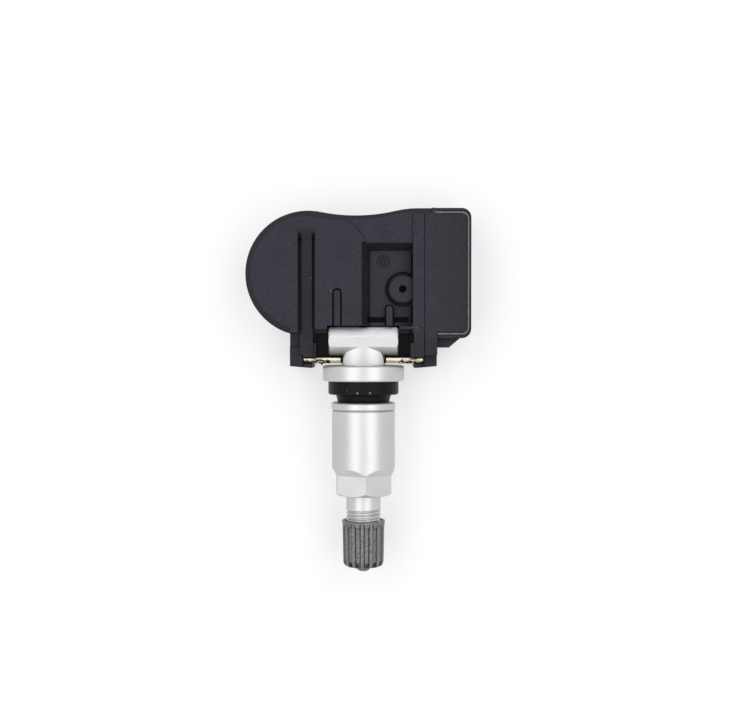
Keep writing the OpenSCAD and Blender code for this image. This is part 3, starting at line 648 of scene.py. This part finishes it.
# One finish for each material slot of the record
FINISHES = {
    # Glass-filled nylon from a spark-eroded mould: near black with a violet cast, fine even grain
    "moulded_nylon": SensorNylon("moulded_glass_filled_nylon", "#1d1a23", "#383540", rough=0.56, **NYLON),
    # The same nylon in the other half of the mould, a little smoother on its rim
    "cover_nylon": SensorNylon("moulded_cover_nylon", "#211e27", "#35323c", rough=0.54, **NYLON),
    # The melt bead of the laser weld between the two halves, seen as a pale line
    "joint_bead": Finish("welded_nylon_bead", "#6b6975", "#96949e", rough=0.42, mottle=1.2),
    # Turned and clear anodised aluminium: satin, with fine rings from the tool
    "anodised_alloy": ValveAlloy("turned_anodised_aluminium", "#c3c3c4", "#cacaca", metallic=0.75,
                                 rough=0.41, rough_swing=0.02, mottle=4.0, grain=0.14, grain_depth=0.0005,
                                 lay=Lay.TURNED, edge=0.08),
    # Stamped spring steel: its plating is bright and its cut edge torn
    "clip_steel": TornSteel("stamped_plated_spring_steel", "#a89b88", "#d8d2c8", metallic=1.0, rough=0.36,
                            mottle=0.35, grain=0.12, grain_depth=0.006, hollow_shade=0.9, reach=0.8, fleck=0.4),
    # Moulded synthetic rubber, dull, with talc left in its grain
    "grommet_rubber": SealRubber("moulded_seal_rubber", "#080609", "#100e12", rough=0.42, specular=0.12,
                                 mottle=2.0, grain=0.25, grain_depth=0.01, dust=0.02, hollow_shade=0.9, reach=2.0),
    # Grey glass-filled nylon cap: short fibres at the skin make it cloudy
    "cap_plastic": CapPlastic("moulded_grey_nylon", "#2f2d2d", "#a9a6a6", rough=0.42, specular=0.42,
                              mottle=0.45, grain_depth=0.012, hollow_shade=1.0, reach=1.3, fleck=0.5),
    # Drawn and nickel plated can of the coin cell: bright, with faint lines along the draw
    "cell_steel": Metal("drawn_nickel_plated_steel", "#c4c2be", "#d6d4d0", rough=0.24, mottle=6.0,
                        lay=Lay.ROLLED),
    # Stamped nickel strip: a soft, warm grey shine
    "tab_nickel": Metal("stamped_nickel_strip", "#b8b4aa", "#cbc8bf", grain_depth=0.002),
    # Glass and epoxy board under green solder mask: dark green under a gloss
    "board_laminate": Finish("solder_masked_laminate", "#123f2a", "#1b5238", rough=0.3, coat=0.3,
                             mottle=2.0, grain=0.35, grain_depth=0.004),
    # Transfer-moulded epoxy chip body: matt charcoal
    "chip_epoxy": Finish("moulded_chip_epoxy", "#1c1d1f", "#26272a", rough=0.6, mottle=1.5, grain=0.12,
                         grain_depth=0.005),
    # Tin plated copper leads: pale and a little clouded
    "lead_tin": Metal("tin_plated_leads", "#c0c0c2", "#d4d4d6", rough=0.34, mottle=0.6, grain=0.08,
                      grain_depth=0.002),
    # Moulded silicone ring: dull brick red
    "gasket_silicone": Finish("moulded_silicone", "#8f3a2c", "#a8483a", rough=0.55, mottle=1.5, grain=0.2,
                              grain_depth=0.004),
    # Welded crystal can: a smooth, warm shine
    "crystal_can": Metal("welded_crystal_can", "#b9b4a6", "#cfcbbf", rough=0.26, lay=Lay.ROLLED),
    # Pressed and fired ferrite: dark and matt
    "ferrite": Finish("fired_ferrite", "#2b2a2c", "#3a383a", mottle=0.8, grain=0.1, grain_depth=0.006),
    # Enamelled copper wire: an orange-brown shine
    "winding_copper": Metal("enamelled_copper_wire", "#a8552a", "#c4703c", mottle=0.7, grain=0.08,
                            grain_depth=0.006, lay=Lay.ROLLED),
    # Stamped brass strip: a clean yellow shine
    "antenna_brass": Metal("stamped_brass_strip", "#b9964a", "#cfae62", rough=0.28),
    # Fired ceramic: sandy, with a faint sheen
    "capacitor_ceramic": Finish("fired_ceramic", "#a08c74", "#b8a48c", rough=0.45, mottle=0.4, grain=0.08,
                                grain_depth=0.003),
    # Turned brass of the valve core: yellow, with fine rings from the tool
    "core_brass": Metal("turned_brass", "#b8954c", "#d0b068", rough=0.25, mottle=1.2, lay=Lay.TURNED),
    # Moulded nitrile of the core's seals: flat black
    "core_rubber": Finish("moulded_core_rubber", "#1b1b1c", "#262627", rough=0.6, mottle=1.0, grain=0.15,
                          grain_depth=0.004),
    # Drawn music wire: a cool grey shine
    "spring_steel": Metal("drawn_spring_wire", "#9a9a9c", "#b4b4b6", rough=0.25, mottle=0.6, grain=0.06),
}


@dataclass
class Studio:
    """The camera over the table, two softboxes, the white room and the table.

    Attributes:
        eye: where the lens stands.
        aim: the point of the table plane that the middle of the picture shows.
        frame_width: width of what the picture shows at the height of the aim.
        sensor: width of the camera's sensor.
        box_width, box_length, box_height, box_gap: the softboxes, and half the gap between them.
        box_shift: how far they stand towards the housing.
        box_glow, room_glow, table_glow: radiance of a softbox, of the room on diffuse surfaces and
            of the table where it glows.
        table_z, table_size: level and size of the table.
        table_seen, table_lit: its colour for the eye and for diffuse light, as sRGB hex.
        glow_near, glow_from, glow_to: share of the glow near the object, and the distances
            between which it rises to the whole.
    """

    eye: tuple[float, float, float] = (2.6, 9.15, 250.0)
    aim: tuple[float, float, float] = (2.6, 4.13, 0.0)
    frame_width: float = 168.9
    sensor: float = 36.0
    box_width: float = 344.0
    box_length: float = 800.0
    box_height: float = 400.0
    box_gap: float = 85.0
    box_shift: float = 90.0
    box_glow: float = 1.41
    room_glow: float = 0.35
    table_glow: float = 1.3
    table_z: float = -9.6
    table_size: float = 4000.0
    table_seen: str = "#f6f6f6"
    table_lit: str = "#b4b4b4"
    glow_near: float = 0.43
    glow_from: float = 110.0
    glow_to: float = 500.0

    def build(self) -> None:
        """Makes the whole studio."""
        self.camera()
        self.softboxes()
        self.room()
        self.table()

    def camera(self) -> None:
        """Sets the camera at the photograph's viewing angle."""
        data = bpy.data.cameras.new("camera")
        camera = hang("camera", data)
        eye, aim = Vector(self.eye) * MM, Vector(self.aim) * MM
        camera.location = eye
        camera.rotation_euler = (math.atan2(aim.y - eye.y, eye.z - aim.z), 0.0, 0.0)
        data.sensor_width = self.sensor
        data.lens = self.sensor * (eye - aim).length / (self.frame_width * MM)
        data.clip_start = 0.01
        data.clip_end = 20.0
        bpy.context.scene.camera = camera

    def softboxes(self) -> None:
        """Hangs one softbox on either side of the camera, so that its gap shows as a stripe on metal."""
        width, length = self.box_width * MM, self.box_length * MM
        for side, name in ((-1, "softbox_left"), (1, "softbox_right")):
            light = bpy.data.lights.new(name, "AREA")
            light.shape = "RECTANGLE"
            light.size = width
            light.size_y = length
            light.energy = math.pi * width * length * self.box_glow
            lamp = hang(name, light)
            aside = side * (self.box_gap + self.box_width / 2)
            lamp.location = Vector((aside, self.box_shift, self.box_height)) * MM
            lamp.visible_camera = False

    def room(self) -> None:
        """Makes a white room for what is seen directly or mirrored, and a dimmer one for diffuse light."""
        world = bpy.data.worlds.new("white_room")
        net = Net(world)
        strength = net.add("MapRange", net.seen(), 0.0, 1.0, self.room_glow, 1.0)
        net.add("OutputWorld", net.add("Background", WHITE, strength))
        bpy.context.scene.world = world

    def table(self) -> None:
        """Lays the white table under the object, glowing a little where it is seen and more far off."""
        half, level = self.table_size / 2 * MM, self.table_z * MM
        corners = [(-half, -half, level), (half, -half, level), (half, half, level), (-half, half, level)]
        mesh = bpy.data.meshes.new("table")
        mesh.from_pydata(corners, [], [(0, 1, 2, 3)])
        top = hang("table", mesh)
        # Matt white card: no shine, so that only the soft shadow marks it
        made = bpy.data.materials.new("white_card")
        net = Net(made)
        lit = net.add("LightPath").outputs["Is Diffuse Ray"]
        card = net.add("BsdfDiffuse", net.add(MIX, lit, linear(self.table_seen), linear(self.table_lit)))
        glow = net.add("Emission", WHITE, self.table_glow)
        away = net.add("VectorMath LENGTH", net.place())
        rise = net.add(STEP, away, self.glow_from, self.glow_to, self.glow_near, 1.0)
        net.add("OutputMaterial", net.add("MixShader", net.add(TIMES, net.seen(), rise), card, glow))
        mesh.materials.append(made)


class Zone(IntEnum):
    """The kinds of surface along the cap's section."""

    PLAIN = 0
    BORE = 1
    RIBS = 2


@dataclass
class ValveCap:
    """The moulded cap: lip, ribs between U-shaped flutes, rounded crown, tip and an inner thread.

    Attributes:
        start, end, tip_end: distances of the mouth, the crown and the tip along the valve.
        bore, floor: radius and depth of the inside.
        lip, lip_length, lip_round: the lip's outer radius, length and rounding.
        wall, taper: radius of the ribs at their upper end, and how much they draw in.
        flutes, flute_width, flute_depth: number, width and depth of the flutes.
        flute_deeper: how much deeper they get at the crown.
        rim: depth of the fine groove along a flute's edges.
        crown, tip: radius of the crown's rounding and of the tip.
        turn: the angle of a flute's middle, in degrees.
        pitch, ridge: the inner thread's pitch and height.
        around: vertices across a flute and a rib.
        flute_shade, crown_shade, rim_shade, bore_shade: painted shade in a flute, at its end in the
            crown, along its edges and in the bore.
        rim_highlight: how much paler a painted highlight makes the rib beside a flute.
    """

    start: float = 31.4
    end: float = 41.8
    tip_end: float = 42.98
    bore: float = 3.935
    floor: float = 40.55
    lip: float = 4.84
    lip_length: float = 1.6
    lip_round: float = 0.14
    wall: float = 4.74
    taper: float = 0.18
    flutes: int = 14
    flute_width: float = 1.24
    flute_depth: float = 0.32
    flute_deeper: float = 0.9
    rim: float = 0.2
    crown: float = 1.15
    tip: float = 1.6
    turn: float = -9.6
    pitch: float = 0.79375
    ridge: float = 0.28
    around: int = 28
    flute_shade: float = 0.06
    crown_shade: float = 0.6
    rim_shade: float = 0.5
    bore_shade: float = 0.7
    rim_highlight: float = 0.16

    def profile(self) -> Array:
        """Gives the section from the middle of the floor, out of the mouth and on to the tip.

        Returns:
            Rows of radius, distance along the valve, and whether it is plain, bore or ribs.
        """
        quarter = np.linspace(0, math.pi / 2, 12)
        lip_end = self.start + self.lip_length
        soft = self.lip_round
        ribs = np.linspace(lip_end - 0.95, self.end - self.crown, 110)
        draw = self.wall - self.taper * (ribs - lip_end) / (self.end - lip_end)
        high = self.tip_end - self.end
        runs = [
            (np.linspace(0, self.bore, 5), self.floor, Zone.PLAIN),
            (self.bore, np.linspace(self.floor - 0.1, self.start + 0.45, 84), Zone.BORE),
            (np.linspace(self.bore + 0.05, self.bore + 0.3, 3),
             np.linspace(self.start + 0.3, self.start, 3), Zone.PLAIN),
            (self.lip - soft + soft * np.sin(quarter),
             self.start + soft - soft * np.cos(quarter), Zone.PLAIN),
            (self.lip, np.linspace(self.start + 0.2, lip_end - 1.25, 3), Zone.PLAIN),
            (self.lip - (self.lip - self.wall) * smooth(0, 1, np.linspace(0, 1, 6)),
             np.linspace(lip_end - 1.2, lip_end - 1.0, 6), Zone.RIBS),
            (draw, ribs, Zone.RIBS),
            (draw[-1] - self.crown + self.crown * np.cos(quarter),
             self.end - self.crown + self.crown * np.sin(quarter), Zone.RIBS),
            (np.array([2.6, 2.1, self.tip + 0.12]), self.end, Zone.PLAIN),
            (self.tip * np.cos(quarter) ** 0.65,
             self.end + 0.06 + (high - 0.06) * np.sin(quarter), Zone.PLAIN),
        ]
        section = np.concatenate([joined(*run) for run in runs])
        section[-1, 0] = 0.0
        return section.T

    def build(self, finish: Material) -> None:
        """Turns the section round the axis, sinks the flutes and raises the inner thread.

        A point has angle a and distance d. A flute lowers the radius where the arc from its middle
        is less than half its width, and its upper end is a half circle. The thread lifts the bore
        towards the axis where d less a pitch for each turn of a is near a whole pitch.

        Args:
            finish: the cap's material.
        """
        radius, along, kind = self.profile()
        count = self.flutes * self.around
        angle = np.arange(count) * 2 * math.pi / count
        r, d, a, kind = np.broadcast_arrays(radius[:, None], along[:, None], angle, kind[:, None])
        sector = 2 * math.pi / self.flutes
        arc = np.abs((a - math.radians(self.turn) + sector / 2) % sector - sector / 2) * self.wall
        half = self.flute_width / 2
        lobe = np.sqrt(np.clip(1 - (arc / half) ** 2, 0.0, 1.0))
        top = self.start + self.lip_length - 1.15 + 0.8 * lobe
        below = smooth(0.0, 0.2, d - top)
        deep = self.flute_depth + smooth(self.end - 1.6, self.end - 0.3, d) * self.flute_deeper
        bottom = self.wall - deep - self.taper * (d - self.start) / (self.end - self.start)
        sunk = smooth(-0.1, 0.1, half - arc) * smooth(0.0, 0.12, d - top)
        fluted = np.minimum(r, r + (bottom - r) * sunk) - self.rim * bell(arc, half, 0.1) * below
        phase = ((d - self.start) / self.pitch - a / (2 * math.pi) + 0.5) % 1.0 - 0.5
        ends = smooth(self.start + 0.4, self.start + 1.2, d) * smooth(self.floor - 0.3, self.floor - 1.0, d)
        thread = self.ridge * np.clip(1.25 - np.abs(phase) / 0.22, 0.0, 1.0) * ends
        r = np.where(kind == Zone.RIBS, fluted, np.where(kind == Zone.BORE, r - thread, r))
        # Painted shade in the flutes, at their ends in the crown, along their edges and in the bore, and a
        # painted highlight on the rib beside each flute
        crown = smooth(self.end - 1.7, self.end - 0.5, d)
        painted_light = sunk * (self.flute_shade + self.crown_shade * crown)
        painted_light = np.clip(painted_light + self.rim_shade * bell(arc, half, 0.12) * below, 0.0, 0.8)
        painted_light -= self.rim_highlight * bell(arc, half + 0.24, 0.1) * below * (1 - crown)
        painted_light = np.where(kind == Zone.RIBS, painted_light, self.bore_shade * (kind == Zone.BORE))
        piece = solid("ribbed_cap", turned(r, d, a), [grid_faces(len(radius), count, True)], painted_light)
        settle(piece, finish, 40.0, "cap", "cap_plastic", "valve_cap")


@dataclass
class ValveStem:
    """The valve's turned body with both threads cut into it.

    Attributes:
        cap_radius, cap_pitch, cap_start: the thread that carries the cap.
        nut_radius, nut_pitch, nut_start, nut_end: the thread that carries the nut.
        length: the stem's length below the collar's face.
        flat: height of the bar's flat over the axis.
        bar, bar_radius: place of the bar along the valve, and its radius.
        neck_start, neck_half, neck_curve: where the neck starts, its half width and its front's radius.
        clear: a height over the axis that is above all metal of the foot.
        scratch_start, scratch_end, scratch_half, scratch_deep: ends, half width and depth of the scratch.
        steps: steps of the thread in one turn.
    """

    cap_radius: float = 3.875
    cap_pitch: float = 0.79375
    cap_start: float = 28.37
    nut_radius: float = 4.5
    nut_pitch: float = 0.75
    nut_start: float = 5.3
    nut_end: float = 25.1
    length: float = 39.9
    flat: float = 3.0
    bar: float = 8.93
    bar_radius: float = 3.25
    neck_start: float = 3.62
    neck_half: float = 4.95
    neck_curve: float = 8.5
    clear: float = 5.6
    scratch_start: Pair = (-2.05, 9.3)
    scratch_end: Pair = (-0.95, 9.92)
    scratch_half: float = 0.11
    scratch_deep: float = 0.13
    steps: int = 48

    def groove(self, name: str, radius: float, pitch: float, start: float, end: float) -> Piece:
        """Makes the body that a threading tool clears.

        A narrow trapezium with sides at 30 degrees is carried along a right-hand helix, and it
        rises out of the metal over the first turn.

        Args:
            name: the cutter's name.
            radius: the thread's outer radius.
            pitch: its pitch.
            start, end: where it starts and ends along the valve.

        Returns:
            The cutter.
        """
        turns = (end - start) / pitch
        t = np.linspace(0, turns, int(turns * self.steps) + 1)
        depth = 0.54 * pitch * smooth(0.1, 0.95, t)
        outer = radius + 0.07
        root = radius + 0.02 - depth
        narrow = 0.07 * pitch
        wide = narrow + (outer - root) * math.tan(math.radians(30))
        middle = start + pitch * t
        r = joined(outer, root, root, outer)
        d = joined(middle - wide, middle - narrow, middle + narrow, middle + wide)
        points = turned(r, d, 2 * math.pi * t[:, None])
        last = len(points)
        ends = np.array([[0, 1, 2, 3], [last - 1, last - 2, last - 3, last - 4]])
        return solid(name, points, [grid_faces(len(t), 4, True), ends])

    def facing(self) -> Piece:
        """Makes the body that a mill clears from the neck's front, so that it runs on into the bar's flat.

        The lower face is a height over X and Y: an arc across the neck whose crest is level with
        the flat, or the bar's own surface where that is higher, a hair above it.

        Returns:
            The cutter.
        """
        x, y = np.meshgrid(np.linspace(-self.neck_half, self.neck_half, 67),
                           np.linspace(self.neck_start, self.bar, 55))
        arc = self.flat + 0.02 - self.neck_curve + np.sqrt(self.neck_curve ** 2 - x ** 2)
        round_bar = np.sqrt(np.clip(self.bar_radius ** 2 - (y - self.bar) ** 2, 0.0, None))
        low = np.maximum(arc, np.minimum(round_bar, self.flat) + 0.015)
        points = np.concatenate([joined(x, y, low), joined(x, y, self.clear)])
        numbers = np.arange(x.size).reshape(x.shape)
        border = np.concatenate([numbers[0], numbers[1:, -1], numbers[-1, -2::-1], numbers[-2:0:-1, 0]])
        after = np.roll(border, -1)
        sheet = grid_faces(*x.shape)
        wall = joined(border, after, after + x.size, border + x.size)
        return solid("facing_cutter", points, [sheet[:, ::-1], sheet + x.size, wall])

    def scratch(self) -> Piece:
        """Makes the sliver that a slip of a tool took from the bar's flat.

        Returns:
            The cutter.
        """
        start, end = np.array(self.scratch_start), np.array(self.scratch_end)
        aside = np.array([end[1] - start[1], start[0] - end[0]])
        aside *= self.scratch_half / np.linalg.norm(aside)
        middle = (start + end) / 2
        high = self.flat + 0.05
        corners = [(*spot, high) for spot in (start, middle + aside, end, middle - aside)]
        corners.append((*middle, self.flat - self.scratch_deep))
        faces = [np.array([[0, 3, 2, 1]]), np.array([[0, 1, 4], [1, 2, 4], [2, 3, 4], [3, 0, 4]])]
        return solid("scratch_cutter", np.array(corners), faces)

    def build(self, finish: Material) -> None:
        """Cuts the threads, the neck's front and the scratch from a merged copy of the frame's stem.

        Args:
            finish: the stem's material.
        """
        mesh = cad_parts["valve_stem"].data.copy()
        merge(mesh, 0.0001, turn=False)
        piece = hang("threaded_stem", mesh)
        cutters = [
            self.groove("cap_thread_cutter", self.cap_radius, self.cap_pitch, self.cap_start,
                        self.length + 0.8),
            self.groove("nut_thread_cutter", self.nut_radius, self.nut_pitch, self.nut_start, self.nut_end),
            self.facing(),
            self.scratch(),
        ]
        for cutter in cutters:
            cut = piece.modifiers.new(cutter.name, "BOOLEAN")
            cut.operation = "DIFFERENCE"
            cut.solver = "EXACT"
            cut.object = cutter
        graph = bpy.context.evaluated_depsgraph_get()
        piece.data = bpy.data.meshes.new_from_object(piece.evaluated_get(graph))
        piece.data.name = "threaded_stem"
        piece.modifiers.clear()
        for cutter in cutters:
            bpy.data.objects.remove(cutter)
        spare = piece.data.attributes.get("custom_normal")
        if spare:
            piece.data.attributes.remove(spare)
        settle(piece, finish, 14.0, "valve", "anodised_alloy", "valve_stem")
        weigh = piece.modifiers.new("even_normals", "WEIGHTED_NORMAL")
        weigh.keep_sharp = True


@dataclass
class SpringClip:
    """The stamped fork that holds the foot, with the torn edges that the press leaves on its prongs.

    Attributes:
        low, high: the plate's two faces along the valve.
        lowest: the end of the teeth along the valve.
        half_width, front, back: half its width and its reach to the front and the back.
        fork: half the gap between the prongs.
        corner: radius of its back corners.
        drop, roll: how far the broken half drops back, and how far the burnished edge rolls.
        teeth: length of the small teeth.
        spike, spike_x, spike_half: length, place and half width of the longest tooth.
        bite_left, bite_right: how much the press bit off the outer corners.
        across, thick: vertices across the plate and through it.
    """

    low: float = -5.25
    high: float = -3.97
    lowest: float = 3.4
    half_width: float = 13.3
    front: float = 1.95
    back: float = 8.6
    fork: float = 5.1
    corner: float = 2.0
    drop: float = 0.5
    roll: float = 0.12
    teeth: float = 0.1
    spike: float = 0.42
    spike_x: float = -9.3
    spike_half: float = 0.2
    bite_left: float = 0.4
    bite_right: float = 0.16
    across: int = 96
    thick: int = 18

    def edges(self) -> tuple[Array, Array]:
        """Gives the fork's inner and outer edge from the left prong round to the right one.

        Returns:
            Two arrays of X and Z, with matching rows.
        """
        other = np.array([-1, 1])
        down = 1 - smooth(0, 1, np.linspace(0, 1, 40)) ** 0.8
        left = joined(-self.fork, self.front * down)
        turn = np.linspace(math.pi, 2 * math.pi, 61)[1:-1]
        bend = joined(self.fork * np.cos(turn), self.fork * np.sin(turn))
        inner = np.concatenate([left, bend, left[::-1] * other])
        side = joined(-self.half_width, self.front - (self.front + 2.0) * (1 - down))
        wide, deep, r = self.half_width - self.corner, self.back - self.corner, self.corner
        arc = np.linspace(math.pi, 1.5 * math.pi, 10)
        bow = joined(-wide + r * np.cos(arc), -deep + r * np.sin(arc))
        drop = joined(-self.half_width, np.linspace(-2.4, -deep + 0.3, 9))
        base = joined(np.linspace(-wide, wide, 23)[1:-1], -self.back)
        half = np.concatenate([side, drop, bow])
        return inner, np.concatenate([half, base, half[::-1] * other])

    def torn(self, points: Array) -> Array:
        """Moves points near the prongs' ends as a shear press tears them.

        The half of the end on the bar's side stays burnished with a rolled edge. The other half is
        broken: it drops back by a sum of sines of unlike lengths, and teeth of it hang below the
        plate's face.

        Args:
            points: X, Y and Z of the plate's vertices.

        Returns:
            The moved points.
        """
        x, y, z = points.T
        near = smooth(self.front - 0.9, self.front, z)
        end = smooth(self.front - 0.05, self.front, z)
        wave = np.sin(x * 7.1 + 1.3) + 0.8 * np.sin(x * 12.7 + y * 9 + 0.4) + 0.6 * np.sin(x * 23.0 + y * 17)
        broken = smooth(0.15, 0.5, wave / 2.4)
        aside = smooth(7.4, 8.1, np.abs(x))
        away = (0.06 + self.drop * broken * aside) * smooth(-4.45, -4.2, y) * end
        roll = self.roll * smooth(-5.02, self.low, y) * end
        teeth = self.teeth * np.clip(np.sin(x * 2.3 + 0.9) * np.sin(x * 5.9 + 2.1), 0, 1) * aside
        spike = self.spike * bell(x, self.spike_x, self.spike_half)
        bite = self.bite_left * smooth(-9.9, -10.6, x) + self.bite_right * smooth(11.3, 12.2, x)
        hang_down = (teeth + spike - bite) * smooth(-4.9, self.high, y) * near
        return joined(x, y + hang_down, z - away - roll)

    def build(self, finish: Material) -> None:
        """Lays the plate as ruled faces between its two edges and closes it at the prongs' ends.

        Args:
            finish: the clip's material.
        """
        inner, outer = self.edges()
        t = np.linspace(0, 1, self.across)
        depth = np.linspace(self.low, self.high, self.thick)
        ring_t = np.concatenate([t, np.ones(self.thick - 2), t[::-1], np.zeros(self.thick - 2)])
        ring_y = np.concatenate([np.full(self.across, self.low), depth[1:-1],
                                 np.full(self.across, self.high), depth[::-1][1:-1]])
        x = inner[:, :1] + (outer[:, :1] - inner[:, :1]) * ring_t
        z = inner[:, 1:] + (outer[:, 1:] - inner[:, 1:]) * ring_t
        parts = [joined(x, ring_y, z)]
        faces = [grid_faces(len(inner), len(ring_t), True)]
        for row in (0, -1):
            faces.append(grid_faces(self.thick, self.across) + sum(len(part) for part in parts))
            across = inner[row, 0] + (outer[row, 0] - inner[row, 0]) * t
            parts.append(joined(across, depth[:, None], self.front))
        points = self.torn(np.concatenate(parts))
        points[:, 1] = np.clip(-points[:, 1], self.lowest, -self.low)
        piece = solid("stamped_clip", points, faces)
        settle(piece, finish, 38.0, "housing", "clip_steel", "retaining_clip")


@dataclass
class WeldBead:
    """The bead of re-melted nylon in the slot between the housing's block and the cover's rim.

    Attributes:
        right, top, bottom: the bead's middle line.
        start: where it starts at the top and the bottom.
        radius: radius of its corners.
        slant: the two ends of the slanted piece that leads to the top edge.
        half: half its width.
        crest, deep, shallow: its highest level, its foot, and its foot on the slanted piece.
    """

    right: float = 23.255
    top: float = 37.395
    bottom: float = 10.605
    start: float = 16.45
    radius: float = 1.36
    slant: tuple[Pair, Pair] = ((15.36, 38.18), (15.98, 37.5))
    half: float = 0.19
    crest: float = 4.05
    deep: float = -7.9
    shallow: float = 3.86

    def build(self, finish: Material) -> None:
        """Sweeps a section with a round crest along straight lines and two quarter circles.

        Args:
            finish: the bead's material.
        """
        turn = np.linspace(0, math.pi / 2, 13)
        sine, cosine = self.radius * np.sin(turn), self.radius * np.cos(turn)
        cx = self.right - self.radius
        high = joined(cx + sine, self.top - self.radius + cosine)
        low = joined(cx + cosine, self.bottom + self.radius - sine)
        lead = np.array([*self.slant, (16.2, self.top), (self.start, self.top)])
        path = np.concatenate([lead, high, low, [(self.start, self.bottom)]])
        foot = np.where(np.arange(len(path)) < len(lead), self.shallow, self.deep)
        across = np.array([-1, -1, -0.7, 0, 0.7, 1, 1]) * self.half
        ahead = np.gradient(path, axis=0)
        ahead /= np.linalg.norm(ahead, axis=1, keepdims=True)
        x = path[:, :1] + ahead[:, 1:] * across
        y = path[:, 1:] - ahead[:, :1] * across
        fall = np.array([0.0, 0.1, 0.02, 0.0, 0.02, 0.1, 0.0])
        count = len(across)
        is_foot = np.isin(np.arange(count), (0, count - 1))
        points = joined(x, y, np.where(is_foot, foot[:, None], self.crest - fall))
        ends = [np.arange(count)[None, :], len(points) - 1 - np.arange(count)[None, :]]
        piece = solid("weld_bead", points, [grid_faces(len(path), count, True), *ends])
        settle(piece, finish, 50.0, "housing", "joint_bead", "seam_bead")


@dataclass
class Dresser:
    """Gives each CAD node that stays the finish of its material slot.

    Attributes:
        finishes: the materials by slot name.
    """

    finishes: dict[str, Material]

    def dress(self) -> None:
        """Assigns the finishes to the nodes' material slots."""
        for name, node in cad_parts.items():
            for entry in node.material_slots:
                key = entry.material.name.split(".")[0] if entry.material else ""
                if key in self.finishes:
                    entry.material = self.finishes[key]
                    log.info("dressed %s with %s", name, key)
                else:
                    log.warning("no finish for slot %s of %s", key, name)


def main() -> None:
    """Builds the studio and the pieces in order."""
    logging.basicConfig(level=logging.INFO, format="%(name)s %(message)s")
    bpy.context.scene.view_settings.view_transform = "Standard"
    Studio().build()
    finishes = {name: finish.material() for name, finish in FINISHES.items()}
    Dresser(finishes).dress()
    ValveStem().build(finishes["anodised_alloy"])
    ValveCap().build(finishes["cap_plastic"])
    SpringClip().build(finishes["clip_steel"])
    WeldBead().build(finishes["joint_bead"])


if __name__ == "__main__":
    main()
